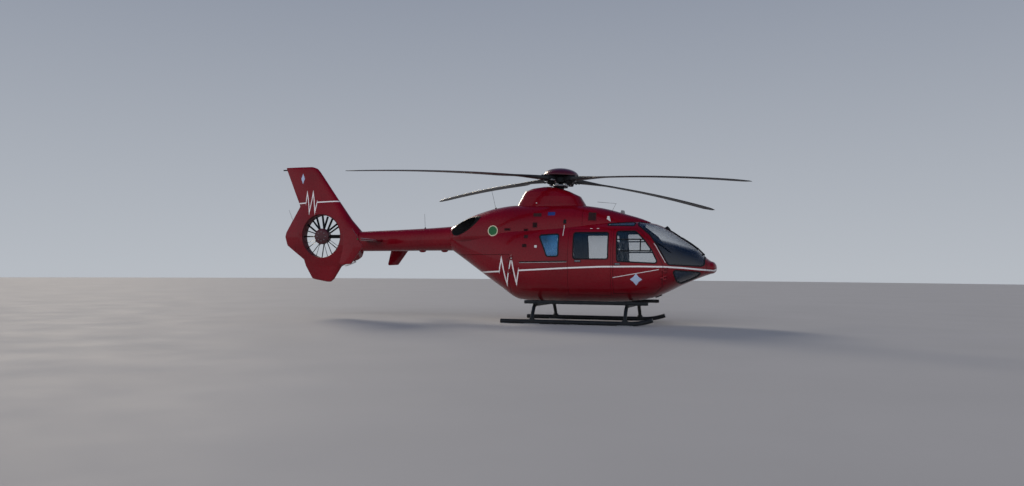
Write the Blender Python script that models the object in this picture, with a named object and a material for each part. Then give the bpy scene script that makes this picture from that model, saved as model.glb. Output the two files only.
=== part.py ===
"""Light twin helicopter on skids, with four main blades and a fan in the fin.

Metres, +Z up, +X to the nose, +Y to port. Lengths along X are counted from the main rotor's mast until the last
step, which puts the origin on the ground under the middle of the whole aircraft.
"""
import math

import bmesh
import bpy
from mathutils import Matrix, Vector

SIDES = (("left", 1), ("right", -1))

# Fits and walls
GAP = 0.0004            # between pieces that rest on each other
PANEL_SEAM = 0.0008     # round a fixed door or cowl panel
DOOR_SEAM = 0.008       # round a door that swings
SKIN = 0.036            # fuselage wall, frames and lining together
COWL_SKIN = 0.022
PANE = 0.006
PANE_INSET = 0.006      # of a pane's face below the paint
RUNNING = 0.0005        # at pins and thrust faces

# Pod from nose to boom: station, underside, top, half width, height of the widest line, squareness
POD = (
    (3.344, 1.150, 1.232, 0.060, 1.190, 2.1),
    (3.300, 1.088, 1.292, 0.170, 1.188, 2.1),
    (3.131, 1.034, 1.407, 0.345, 1.185, 2.3),
    (2.961, 0.968, 1.605, 0.460, 1.185, 2.45),
    (2.619, 0.818, 1.834, 0.610, 1.190, 2.65),
    (2.341, 0.677, 2.012, 0.692, 1.195, 2.8),
    (2.043, 0.556, 2.130, 0.742, 1.200, 2.9),
    (1.600, 0.480, 2.182, 0.774, 1.200, 3.0),
    (0.900, 0.455, 2.190, 0.780, 1.200, 3.0),
    (-0.450, 0.450, 2.180, 0.780, 1.240, 3.0),
    (-0.836, 0.475, 2.170, 0.770, 1.300, 3.0),
    (-1.250, 0.720, 2.160, 0.715, 1.420, 2.9),
    (-1.700, 1.015, 2.145, 0.590, 1.560, 2.7),
    (-2.125, 1.298, 2.130, 0.420, 1.700, 2.5),
    (-2.520, 1.558, 2.112, 0.262, 1.835, 2.3),
)
POD_POINTS = 24

# Cowl over the roof: station, top, half width; its sections spring from a line inside the pod
COWL = (
    (1.980, 2.160, 0.140),
    (1.800, 2.235, 0.270),
    (1.547, 2.313, 0.360),
    (0.872, 2.490, 0.500),
    (0.100, 2.572, 0.600),
    (-0.982, 2.560, 0.640),
    (-1.450, 2.500, 0.615),
    (-1.734, 2.426, 0.575),
    (-1.934, 2.363, 0.530),
    (-2.200, 2.250, 0.440),
    (-2.380, 2.157, 0.340),
    (-2.500, 2.118, 0.250),
)
COWL_FOOT = 1.880       # height from which the sections rise
COWL_KEEL = 1.680       # height of their lower end, inside the pod
COWL_FULLNESS = 2.8
COWL_FULLNESS_LOW = 2.0
COWL_POINTS = 24
COWL_SPLIT = 0.60       # forward cowl ahead, engine cowls behind

# Fairing over the rotor gearbox: height, front, rear, half width
FAIRING = (
    (2.400, 0.640, -1.080, 0.360),
    (2.560, 0.560, -0.980, 0.340),
    (2.740, 0.450, -0.880, 0.300),
    (2.860, 0.200, -0.810, 0.255),
    (2.930, 0.000, -0.640, 0.200),
    (2.962, -0.180, -0.400, 0.120),
)
FAIRING_FULLNESS = 2.6
FAIRING_POINTS = 24

# Joints between the fuselage panels
NOSE_JOINT = 3.165
SILL = 1.190
REAR_JOINT = -0.950

# Outlines seen from the side: X, Z
FRONT_DOOR = ((1.310, 0.650), (2.120, 0.650), (2.290, 0.790), (2.318, 1.240), (2.120, 1.640), (1.865, 1.930),
              (1.760, 1.985), (1.310, 1.985))
FRONT_DOOR_WINDOW = ((1.385, 1.313), (2.226, 1.275), (2.095, 1.552), (1.948, 1.754), (1.790, 1.915),
                     (1.740, 1.945), (1.370, 1.945))
SLIDING_DOOR = ((0.350, 0.610), (1.255, 0.610), (1.255, 1.985), (0.350, 1.985))
SLIDING_DOOR_WINDOW = ((0.460, 1.361), (1.198, 1.361), (1.198, 1.920), (0.454, 1.923))
REAR_WINDOW = ((-0.114, 1.414), (0.139, 1.415), (0.136, 1.896), (-0.308, 1.873), (-0.180, 1.590))
WINDSCREEN = ((1.860, 2.600), (1.860, 2.040), (2.200, 1.650), (2.425, SILL + 0.060), (3.060, SILL + 0.032),
              (3.125, SILL + 0.060), (3.125, 2.600))
CHIN_WINDOW = ((2.510, SILL - 0.050), (2.580, SILL - 0.285), (2.650, SILL - 0.328), (2.840, SILL - 0.250),
               (2.990, SILL - 0.175), (3.075, SILL - 0.090))
CLAMSHELL = ((REAR_JOINT - DOOR_SEAM, 0.200), (REAR_JOINT - DOOR_SEAM, 1.450), (-2.315, 1.450), (-2.315, 0.200))
CORNER = 0.045
CORNER_STEPS = 3
# Seen from above: X, Y on the port side
ROOF_WINDOW = ((1.150, 0.455), (1.720, 0.360), (1.720, 0.530), (1.150, 0.535))
CENTRE_POST = 0.030     # half width of the post between the windscreens
KEEL_POST = 0.120       # half width of the nose between the chin windows
SIDE_INNER = 0.300      # Y from which side openings are cut outwards
BEYOND = 4.000          # further out than any piece of the fuselage

# Hinges
FRONT_HINGE = (2.336, 0.722)        # X, Y of the pin line on the port side
FRONT_HINGE_HEIGHTS = (SILL - 0.205, SILL - 0.050)
REAR_HINGE = (-0.944, 0.792)
REAR_HINGE_HEIGHTS = (SILL - 0.090, SILL + 0.190)
KNUCKLE_RADIUS = 0.013
KNUCKLE_HEIGHT = 0.030
STRAP_REACH = 0.062     # from the pin to the end of its foot
STRAP_FOOT = 0.028
STRAP_DEPTH = 0.100     # how far the foot goes into the skin from the pin

# Cabin
FLOOR_TOP = 0.640
FLOOR_THICKNESS = 0.030
FLOOR_REAR = -0.930
FLOOR_FRONT = 2.080
FLOOR_DOOR_EDGE = (1.285, 0.670)    # X from which the floor is narrower beside the front doors, and its half width
LOAD_FLOOR = (0.420, 1.220, 0.550, 0.012)   # rear, front, half width, thickness
SEAT_WIDTH = 0.460
SEAT_SPACING = 0.330    # of a seat's middle from the centreline
SEAT_BASE_WIDTH = 0.300
SEAT_HEIGHT = 0.300     # of the cushion over the floor
# Side of a seat: ahead of its middle, above its cushion
SEAT_PROFILE = ((0.220, -0.090), (0.270, 0.010), (0.250, 0.050), (-0.120, 0.020), (-0.250, 0.620), (-0.250, 0.820),
                (-0.330, 0.820), (-0.350, 0.620), (-0.260, -0.090))
SEAT_BASE = (0.180, 0.200, 0.060)   # half length at the floor, half length at the top, depth of its top in the seat
PILOT_SEAT_X = 1.640
CABIN_SEAT_X = 0.080
PANEL_HOOD = ((2.200, 1.060), (2.200, 1.500), (2.260, 1.560), (2.930, 1.420), (2.930, 1.390), (2.330, 1.490),
              (2.290, 1.060))
PANEL_HALF_WIDTH = 0.600
PEDESTAL = (1.960, 2.300, 0.085)    # rear, front, half width

# Engines and gearbox
ENGINE_REAR = -1.430
ENGINE_FRONT = -0.600
ENGINE_INNER = 0.090
ENGINE_OUTER = 0.470
ENGINE_TOP = 2.420
GEARBOX_HALF = 0.260
GEARBOX_CASE_TOP = 2.500
GEARBOX_TOP = 2.660
MACHINERY_FOOT = 2.000  # below the roof, to be cut off by it
EXHAUST_START = (-1.470, 0.330, 2.232)
EXHAUST_END = (-2.520, 0.450, 2.000)
EXHAUST_RADIUS = 0.160
EXHAUST_WALL = 0.012
EXHAUST_PROUD = 0.012

# Tail boom: station, underside, top, half width
BOOM = (
    (-2.520, 1.558, 2.112, 0.262),
    (-3.122, 1.556, 2.077, 0.238),
    (-3.878, 1.550, 2.046, 0.208),
    (-4.900, 1.545, 2.011, 0.168),
)
BOOM_SKIN = 0.014
BOOM_FULLNESS = 2.3
BOOM_POINTS = 28

# Stabiliser and its end plates
STABILISER_FRONT = -4.240
STABILISER_CHORD = 0.420
STABILISER_HEIGHT = 1.785
STABILISER_HALF_SPAN = 1.220
STABILISER_THICKNESS = 0.056
END_PLATE = ((-4.220, 1.610), (-4.340, 1.800), (-4.480, 2.010), (-4.680, 2.010), (-4.680, 1.600),
             (-4.770, 1.225), (-4.500, 1.240))
END_PLATE_THICKNESS = 0.032

# Fin with the fan duct: height, leading edge, trailing edge, half thickness
FIN = (
    (0.812, -5.690, -5.800, 0.020),
    (0.880, -5.600, -6.190, 0.034),
    (1.207, -5.418, -6.372, 0.060),
    (1.345, -5.165, -6.430, 0.110),
    (1.545, -4.700, -6.702, 0.160),
    (1.690, -4.600, -6.896, 0.168),
    (1.900, -4.600, -6.960, 0.168),
    (2.011, -4.880, -6.930, 0.168),
    (2.300, -5.151, -6.757, 0.160),
    (2.637, -5.403, -6.556, 0.118),
    (2.786, -5.514, -6.620, 0.088),
    (3.469, -6.016, -6.914, 0.062),
    (3.560, -6.100, -6.955, 0.050),
    (3.600, -6.230, -6.960, 0.024),
)
FIN_POINTS = 26
FIN_TAB = (-7.050, -6.930, 3.525, 3.555, 0.012)     # rear, front, bottom, top, half width of the arm at the top

# Fan in the fin
FAN_X = -5.915
FAN_Z = 1.902
DUCT_RADIUS = 0.512
DUCT_LIP = 0.050
DUCT_THROAT = 0.100     # from the middle to where the lip starts
DUCT_MOUTH = 0.150      # from the middle to where the lip is widest
FAN_CLEARANCE = 0.012
FAN_RADIUS = DUCT_RADIUS - FAN_CLEARANCE
FAN_BLADES = 10
FAN_HUB_RADIUS = 0.190
FAN_HUB_DEPTH = 0.110
FAN_Y = -0.060
FAN_BLADE_CHORD = 0.056
FAN_BLADE_THICKNESS = 0.009
FAN_BLADE_PITCH = 52
STATOR_VANES = 11
STATOR_HUB_RADIUS = 0.165
STATOR_HUB_DEPTH = 0.150
STATOR_CHORD = 0.075
STATOR_THICKNESS = 0.010
STATOR_PITCH = 78
STATOR_ARM = (0.085, 0.120)     # height and depth of the drive shaft's arm
ROOT_OVERLAP = 0.012    # of a blade's root in its hub

# Main rotor, in the mast's own frame
MAST_TILT = 2.1
HUB_HEIGHT = 3.125
MAST_RADIUS = 0.055
HUB_RADIUS = 0.210
HUB_DEPTH = 0.150
HUB_ARM = (0.440, 0.190, 0.090)     # reach, width, depth
TOWER_WALL = 0.025      # of the gearbox round the mast
MAST_HOLE = 0.045       # room round the mast in the cowls
CAP_RADIUS = 0.388
CAP_RISE = 0.175
CAP_BASE = 0.075
CAP_WALL = 0.010
BLADE_AZIMUTH = 54.5
BLADES = 4
BLADE_ROOT = 0.4405
BLADE_TIP = 5.100
BLADE_CONE = -0.8
BLADE_DROOP = 0.250
# Share of the radius, chord, thickness, how far the leading edge is ahead of the pitch axis
BLADE = (
    (0.000, 0.200, 0.092, 0.100),
    (0.060, 0.190, 0.080, 0.096),
    (0.150, 0.200, 0.052, 0.096),
    (0.220, 0.285, 0.036, 0.082),
    (0.400, 0.285, 0.034, 0.075),
    (0.600, 0.285, 0.032, 0.075),
    (0.800, 0.280, 0.029, 0.072),
    (0.940, 0.260, 0.024, 0.060),
    (1.000, 0.110, 0.012, -0.030),
)

# Skid gear
CROSS_TUBES = (("front", 1.600), ("rear", -0.358))
CROSS_RADIUS = 0.038
CROSS_HEIGHT = 0.392
CROSS_BEND = 0.640      # Y where the tube turns down
SHOULDER = (0.850, 0.355)
SKID_Y = 1.000
SKID_RADIUS = 0.046
LEG_FOOT = SKID_RADIUS * 2 + 0.002 + GAP
LEG_KNEE = 0.130        # height up to which the leg is upright
SKID_REAR = -1.045
SKID_FRONT = 2.160
SKID_TURN_UP = 1.700
SKID_RISE = 0.085
STEP_Y = 0.860
STEP_Z = 0.450
STEP_REAR = -0.560
STEP_FRONT = 2.045
STEP_WIDTH = 0.110
STEP_DEPTH = 0.072
STEP_POST = (0.056, 0.040)      # length and width
STEP_POST_Y = SHOULDER[0] - 0.030
STEP_POST_FOOT = SHOULDER[1] + 0.022
SKID_SOCKET = (0.140, 0.084, 0.048)     # length, width, height over the skid's middle
SKID_PAD = (0.320, 0.060)
SADDLE = (0.110, 0.090)     # length and width of the block over each cross tube
SADDLE_Y = 0.420
SADDLE_HEIGHTS = (CROSS_HEIGHT - CROSS_RADIUS - 0.016, 0.520)
HOOK_PLATE = (0.150, 0.150, 0.030)      # length, width, depth of the plate under the belly
HOOK_PLATE_X = 0.420

PAINTS = {
    "red_paint": ((0.30, 0.010, 0.022), 0.30, 0.0),
    "dark_metal": ((0.07, 0.06, 0.055), 0.45, 0.9),
    "glass": ((0.05, 0.10, 0.14), 0.05, 0.0),
    "black_coat": ((0.012, 0.014, 0.016), 0.45, 0.0),
    "blade_grey": ((0.035, 0.038, 0.042), 0.50, 0.0),
    "grey_metal": ((0.32, 0.33, 0.34), 0.40, 0.8),
    "seat_cloth": ((0.03, 0.035, 0.045), 0.90, 0.0),
    "cabin_grey": ((0.22, 0.23, 0.24), 0.70, 0.0),
}


# Scene set-up and small helpers

def clear_scene():
    for item in list(bpy.data.objects):
        bpy.data.objects.remove(item, do_unlink=True)


def collection(name):
    made = bpy.data.collections.new(name)
    bpy.context.scene.collection.children.link(made)
    return made


def paint(name):
    found = bpy.data.materials.get(name)
    if found:
        return found
    colour, roughness, metallic = PAINTS[name]
    made = bpy.data.materials.new(name)
    made.use_nodes = True
    shader = made.node_tree.nodes["Principled BSDF"]
    shader.inputs["Base Color"].default_value = (*colour, 1.0)
    shader.inputs["Roughness"].default_value = roughness
    shader.inputs["Metallic"].default_value = metallic
    return made


def place(name, mesh, material=None):
    """An object of this mesh among the parts, or among the cutters when it has no material."""
    made = bpy.data.objects.new(name, mesh)
    if material:
        PARTS.objects.link(made)
        mesh.materials.clear()
        mesh.materials.append(paint(material))
    else:
        CUTTERS.objects.link(made)
        made.display_type = "WIRE"
        made.hide_render = True
    return made


def settled(item):
    """The object with its modifiers applied."""
    bpy.context.view_layer.update()
    graph = bpy.context.evaluated_depsgraph_get()
    mesh = bpy.data.meshes.new_from_object(item.evaluated_get(graph))
    item.modifiers.clear()
    item.data = mesh
    return item


def boolean(target, cutter, operation="DIFFERENCE"):
    step = target.modifiers.new(operation.lower(), "BOOLEAN")
    step.operation = operation
    step.solver = "EXACT"
    step.object = cutter
    return settled(target)


def copied(item, name, material=None):
    return place(name, item.data.copy(), material)


def mesh_from(name, build):
    """A mesh that the given function fills through bmesh."""
    mesh = bpy.data.meshes.new(name)
    shape = bmesh.new()
    build(shape)
    bmesh.ops.recalc_face_normals(shape, faces=shape.faces)
    shape.to_mesh(mesh)
    shape.free()
    return mesh


def lofted(name, rings, material=None):
    """A closed skin over rings that have the same number of points."""
    def build(shape):
        rows = [[shape.verts.new(point) for point in ring] for ring in rings]
        count = len(rings[0])
        for near, far in zip(rows, rows[1:]):
            for i in range(count):
                j = (i + 1) % count
                shape.faces.new((near[i], near[j], far[j]))
                shape.faces.new((near[i], far[j], far[i]))
        shape.faces.new(rows[0])
        shape.faces.new(rows[-1])
    return place(name, mesh_from(name, build), material)


def block(name, low, high, material=None):
    """A box between two corners."""
    size = Vector(high) - Vector(low)
    centre = (Vector(high) + Vector(low)) / 2

    def build(shape):
        bmesh.ops.create_cube(shape, size=1.0, matrix=Matrix.Translation(centre) @ Matrix.Diagonal((*size, 1.0)))
    return place(name, mesh_from(name, build), material)


def rod(name, start, end, radius, material=None, sides=20):
    """A plain cylinder between two points."""
    start, end = Vector(start), Vector(end)
    turn = (end - start).to_track_quat("Z", "Y").to_matrix().to_4x4()
    where = Matrix.Translation((start + end) / 2) @ turn

    def build(shape):
        bmesh.ops.create_cone(shape, cap_ends=True, segments=sides, radius1=radius, radius2=radius,
                              depth=(end - start).length, matrix=where)
    return place(name, mesh_from(name, build), material)


def from_curve(name, data, matrix, material=None):
    """A curve turned into a closed mesh in world space."""
    guide = bpy.data.objects.new(name, data)
    bpy.context.scene.collection.objects.link(guide)
    bpy.context.view_layer.update()
    graph = bpy.context.evaluated_depsgraph_get()
    mesh = bpy.data.meshes.new_from_object(guide.evaluated_get(graph))
    bpy.data.objects.remove(guide, do_unlink=True)
    shape = bmesh.new()
    shape.from_mesh(mesh)
    bmesh.ops.remove_doubles(shape, verts=shape.verts, dist=0.00005)
    bmesh.ops.transform(shape, matrix=matrix, verts=shape.verts)
    bmesh.ops.recalc_face_normals(shape, faces=shape.faces)
    shape.to_mesh(mesh)
    shape.free()
    return place(name, mesh, material)


def poly_spline(data, points, closed):
    line = data.splines.new("POLY")
    line.points.add(len(points) - 1)
    for spot, point in zip(line.points, points):
        spot.co = (*point, 1.0)
    line.use_cyclic_u = closed


def plate(name, outline, low, high, along="Y", material=None):
    """A flat outline given a thickness: along Y it is drawn in X and Z, along Z in X and Y."""
    data = bpy.data.curves.new(name, "CURVE")
    data.dimensions = "2D"
    data.fill_mode = "BOTH"
    data.extrude = (high - low) / 2
    poly_spline(data, [(a, b, 0.0) for a, b in outline], True)
    middle = (high + low) / 2
    if along == "Y":
        matrix = Matrix.Translation((0, middle, 0)) @ Matrix.Rotation(math.pi / 2, 4, "X")
    else:
        matrix = Matrix.Translation((0, 0, middle))
    return from_curve(name, data, matrix, material)


def tube(name, points, radius, material=None, sides=4):
    """A round bar along points."""
    data = bpy.data.curves.new(name, "CURVE")
    data.dimensions = "3D"
    data.bevel_depth = radius
    data.bevel_resolution = sides
    data.use_fill_caps = True
    poly_spline(data, points, False)
    return from_curve(name, data, Matrix.Identity(4), material)


def smooth_shaded(item, angle=35):
    item.data.shade_smooth()
    item.data.set_sharp_from_angle(angle=math.radians(angle))


# Outlines and curves

def along(table, column, x):
    """Column of a table at x, on a smooth line with no overshoot through its rows."""
    rows = sorted(table)
    xs = [row[0] for row in rows]
    ys = [row[column] for row in rows]
    x = min(max(x, xs[0]), xs[-1])
    i = max(k for k in range(len(xs) - 1) if x >= xs[k])
    rises = [(ys[k + 1] - ys[k]) / (xs[k + 1] - xs[k]) for k in range(len(xs) - 1)]

    def slope(k):
        if k == 0 or k == len(rises):
            return rises[min(k, len(rises) - 1)]
        before, after = rises[k - 1], rises[k]
        return 0.0 if before * after <= 0 else 2 * before * after / (before + after)
    span = xs[i + 1] - xs[i]
    t = (x - xs[i]) / span
    ends = ys[i] * (1 + 2 * t) * (1 - t) ** 2 + ys[i + 1] * t * t * (3 - 2 * t)
    return ends + span * t * (1 - t) * (slope(i) * (1 - t) - slope(i + 1) * t)


def stations(table):
    return sorted(row[0] for row in table)


def oval(half_width, low, high, waist, full_low, full_high, points):
    """A squarish oval in Y and Z, widest at the waist."""
    found = []
    for k in range(points):
        turn = 2 * math.pi * k / points
        across, up = math.cos(turn), math.sin(turn)
        power = full_high if up >= 0 else full_low
        reach = high - waist if up >= 0 else waist - low
        y = math.copysign(abs(across) ** (2 / power), across) * half_width
        z = waist + math.copysign(abs(up) ** (2 / power), up) * reach
        found.append((y, z))
    return found


def grown(outline, distance):
    """An outline with each side moved out by a distance."""
    area = sum(a[0] * b[1] - b[0] * a[1] for a, b in zip(outline, outline[1:] + outline[:1]))
    turn = 1 if area > 0 else -1
    lines = []
    for a, b in zip(outline, outline[1:] + outline[:1]):
        step = Vector((b[0] - a[0], b[1] - a[1])).normalized()
        out = Vector((step.y, -step.x)) * turn * distance
        lines.append((Vector(a) + out, step))
    found = []
    for (p, u), (q, v) in zip(lines[-1:] + lines[:-1], lines):
        cross = u.x * v.y - u.y * v.x
        if abs(cross) < 1e-6:
            found.append(tuple(q))
            continue
        ahead = ((q.x - p.x) * v.y - (q.y - p.y) * v.x) / cross
        found.append(tuple(p + u * ahead))
    return found


def rounded(outline, radius, steps=CORNER_STEPS):
    """An outline with arcs for corners."""
    found = []
    count = len(outline)
    for k in range(count):
        before, corner, after = (Vector(outline[(k + d) % count]) for d in (-1, 0, 1))
        one, two = (before - corner), (after - corner)
        half = one.angle(two) / 2
        reach = min(radius / math.tan(half), one.length * 0.45, two.length * 0.45)
        bow = reach * math.tan(half)
        centre = corner + (one.normalized() + two.normalized()).normalized() * bow / math.sin(half)
        start = corner + one.normalized() * reach - centre
        end = corner + two.normalized() * reach - centre
        swing = start.angle_signed(end)
        for step in range(steps + 1):
            spoke = start.copy()
            spoke.rotate(Matrix.Rotation(-swing * step / steps, 2))
            found.append(tuple(centre + spoke))
    return found


def side_cutter(name, outline, side, inner=0.0, outer=1.5):
    low, high = sorted((side * inner, side * outer))
    return plate(name, outline, low, high)


# Fuselage pod

def pod(name, grow=0.0, material=None):
    """The pod as a closed body, grown or shrunk all round."""
    rings = []
    xs = stations(POD)
    rear, tip = xs[0] - grow, xs[-1] + grow
    xs = [rear] + xs[1:-1] + [tip]
    if grow <= -SKIN:
        xs = [x for x in xs if x < POD[1][0] - 2 * abs(grow)]
    for x in xs:
        low, high, half, waist, full = (along(POD, column, x) for column in (1, 2, 3, 4, 5))
        ring = oval(half + grow, low - grow, high + grow, waist, full, full, POD_POINTS)
        rings.append([(x, y, z) for y, z in ring])
    return lofted(name, rings, material)


def between(name, item, low, high, material):
    """The share of a body that lies in a box."""
    made = copied(item, name, material)
    return boolean(made, block(name + "_box", low, high), "INTERSECT")


def hinge_knuckles(item, pin, heights, side, towards, own):
    """Add the item's knuckles on a pin line: the middle one of three when own is true, else the outer two."""
    round_end = [(KNUCKLE_RADIUS * math.cos(math.radians(a)), KNUCKLE_RADIUS * math.sin(math.radians(a)))
                 for a in (90, 135, 180, 225, 270)]
    strap = round_end + [(STRAP_REACH, -KNUCKLE_RADIUS), (STRAP_REACH, STRAP_DEPTH),
                         (STRAP_REACH - STRAP_FOOT, STRAP_DEPTH), (STRAP_REACH - STRAP_FOOT, KNUCKLE_RADIUS)]
    outline = [(pin[0] + towards * ahead, side * (pin[1] - inboard)) for ahead, inboard in strap]
    for height in heights:
        for offset in ((0,) if own else (-1, 1)):
            middle = height + offset * (KNUCKLE_HEIGHT + RUNNING)
            low, high = middle - KNUCKLE_HEIGHT / 2, middle + KNUCKLE_HEIGHT / 2
            boolean(item, plate(item.name + "_knuckle", outline, low, high, "Z"), "UNION")


def build_fuselage():
    shell = boolean(pod("pod_shell"), pod("pod_inner", grow=-SKIN))
    pane_shell = boolean(pod("pane_shell", grow=-PANE_INSET), pod("pane_inner", grow=-PANE_INSET - PANE))
    far = BEYOND
    cabin = {
        "nose_cap": ((NOSE_JOINT + GAP, -far, -far), (far, far, far)),
        "lower_fuselage": ((REAR_JOINT, -far, -far), (NOSE_JOINT, far, SILL)),
        "cabin_frame": ((REAR_JOINT, -far, SILL + GAP), (NOSE_JOINT, far, far)),
        "aft_fuselage": ((-far, -far, -far), (REAR_JOINT - GAP, far, far)),
    }
    made = {name: between(name, shell, low, high, "red_paint") for name, (low, high) in cabin.items()}
    lower, frame, aft = made["lower_fuselage"], made["cabin_frame"], made["aft_fuselage"]

    for side_name, side in SIDES:
        door_hole = side_cutter("front_door_hole", grown(FRONT_DOOR, DOOR_SEAM), side, SIDE_INNER)
        slide_hole = side_cutter("sliding_door_hole", grown(SLIDING_DOOR, PANEL_SEAM), side, SIDE_INNER)
        for body in (lower, frame):
            boolean(body, door_hole)
            boolean(body, slide_hole)
        window(frame, pane_shell, "windscreen", side_name, side, WINDSCREEN, CENTRE_POST)
        window(frame, pane_shell, "rear_window", side_name, side, REAR_WINDOW, SIDE_INNER)
        window(lower, pane_shell, "chin_window", side_name, side, CHIN_WINDOW, KEEL_POST)
        roof_window(frame, pane_shell, side_name, side)
        clam_hole = side_cutter("clamshell_hole", grown(CLAMSHELL, DOOR_SEAM), side, -DOOR_SEAM)
        boolean(aft, clam_hole)

        slide = door(shell, "sliding_door", side_name, side, SLIDING_DOOR)
        window(slide, pane_shell, "sliding_window", side_name, side, SLIDING_DOOR_WINDOW, SIDE_INNER)
        front = door(shell, "front_door", side_name, side, FRONT_DOOR)
        window(front, pane_shell, "front_window", side_name, side, FRONT_DOOR_WINDOW, SIDE_INNER)
        clam = copied(shell, "clamshell_" + side_name, "red_paint")
        boolean(clam, side_cutter("clamshell_form", CLAMSHELL, side, DOOR_SEAM / 2), "INTERSECT")

        hinge_knuckles(front, FRONT_HINGE, FRONT_HINGE_HEIGHTS, side, -1, True)
        hinge_knuckles(lower, FRONT_HINGE, FRONT_HINGE_HEIGHTS, side, 1, False)
        hinge_knuckles(clam, REAR_HINGE, REAR_HINGE_HEIGHTS, side, -1, True)
        hinge_knuckles(lower, REAR_HINGE, REAR_HINGE_HEIGHTS[:1], side, 1, False)
        hinge_knuckles(frame, REAR_HINGE, REAR_HINGE_HEIGHTS[1:], side, 1, False)
    return made


def door(shell, kind, side_name, side, outline):
    made = copied(shell, kind + "_" + side_name, "red_paint")
    return boolean(made, side_cutter(kind + "_form", list(outline), side, SIDE_INNER), "INTERSECT")


def window(carrier, pane_shell, kind, side_name, side, outline, inner):
    """Cut a window in its carrier and fit the pane."""
    edge = rounded(list(outline), CORNER)
    boolean(carrier, side_cutter(kind + "_hole", edge, side, inner))
    pane = copied(pane_shell, kind + "_" + side_name, "glass")
    boolean(pane, side_cutter(kind + "_edge", grown(edge, -GAP), side, inner + GAP), "INTERSECT")


def roof_window(frame, pane_shell, side_name, side):
    edge = rounded([(x, y * side) for x, y in ROOF_WINDOW], CORNER)
    boolean(frame, plate("roof_window_hole", edge, SILL, BEYOND, "Z"))
    pane = copied(pane_shell, "roof_window_" + side_name, "glass")
    boolean(pane, plate("roof_window_edge", grown(edge, -GAP), SILL, BEYOND, "Z"), "INTERSECT")


def build_interior():
    inside = pod("cabin_space", grow=-SKIN - GAP)
    narrow_from, narrow = FLOOR_DOOR_EDGE
    plan = ((FLOOR_REAR, -BEYOND), (narrow_from, -BEYOND), (narrow_from, -narrow), (FLOOR_FRONT, -narrow),
            (FLOOR_FRONT, narrow), (narrow_from, narrow), (narrow_from, BEYOND), (FLOOR_REAR, BEYOND))
    floor = plate("cabin_floor", plan, FLOOR_TOP - FLOOR_THICKNESS, FLOOR_TOP, "Z", "cabin_grey")
    boolean(floor, inside, "INTERSECT")
    rear, front, half, thick = LOAD_FLOOR
    block("load_floor", (rear, -half, FLOOR_TOP + GAP), (front, half, FLOOR_TOP + GAP + thick), "grey_metal")
    rear, front, half = PEDESTAL
    panel = plate("instrument_panel", PANEL_HOOD, -PANEL_HALF_WIDTH, PANEL_HALF_WIDTH, "Y", "black_coat")
    pedestal = block("pedestal", (rear, -half, FLOOR_TOP + GAP), (front, half, PANEL_HOOD[0][1] + 0.02))
    boolean(panel, pedestal, "UNION")
    boolean(panel, inside, "INTERSECT")
    for side_name, side in SIDES:
        seat("pilot_seat_" + side_name, PILOT_SEAT_X, side * SEAT_SPACING)
        seat("cabin_seat_" + side_name, CABIN_SEAT_X, side * SEAT_SPACING)


def seat(name, x, y):
    """A seat on its pedestal: cushion, back and headrest in one profile over a narrower base."""
    cushion = FLOOR_TOP + SEAT_HEIGHT
    profile = [(x + ahead, cushion + above) for ahead, above in SEAT_PROFILE]
    low, high, depth = SEAT_BASE
    foot = [(x + low, FLOOR_TOP + GAP), (x + high, cushion - depth), (x - high, cushion - depth),
            (x - low, FLOOR_TOP + GAP)]
    made = plate(name, profile, y - SEAT_WIDTH / 2, y + SEAT_WIDTH / 2, "Y", "seat_cloth")
    boolean(made, plate("seat_base", foot, y - SEAT_BASE_WIDTH / 2, y + SEAT_BASE_WIDTH / 2), "UNION")


# Cowls, fairing, engines and exhausts

def cowl(name, grow=0.0, material=None):
    rings = []
    xs = stations(COWL)
    xs = [xs[0] - grow] + xs[1:-1] + [xs[-1] + grow]
    for x in xs:
        high, half = along(COWL, 1, x), along(COWL, 2, x)
        ring = oval(half + grow, COWL_KEEL - grow, high + grow, COWL_FOOT, COWL_FULLNESS_LOW, COWL_FULLNESS,
                    COWL_POINTS)
        rings.append([(x, y, z) for y, z in ring])
    return lofted(name, rings, material)


def fairing(name, grow=0.0, material=None):
    rings = []
    for height, front, rear, half in FAIRING:
        middle, reach = (front + rear) / 2, (front - rear) / 2
        ring = oval(half + grow, -1.0, 1.0, 0.0, FAIRING_FULLNESS, FAIRING_FULLNESS, FAIRING_POINTS)
        rings.append([(middle + across * (reach + grow), y, height + (grow if height == FAIRING[-1][0] else 0.0))
                      for y, across in ring])
    return lofted(name, rings, material)


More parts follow.
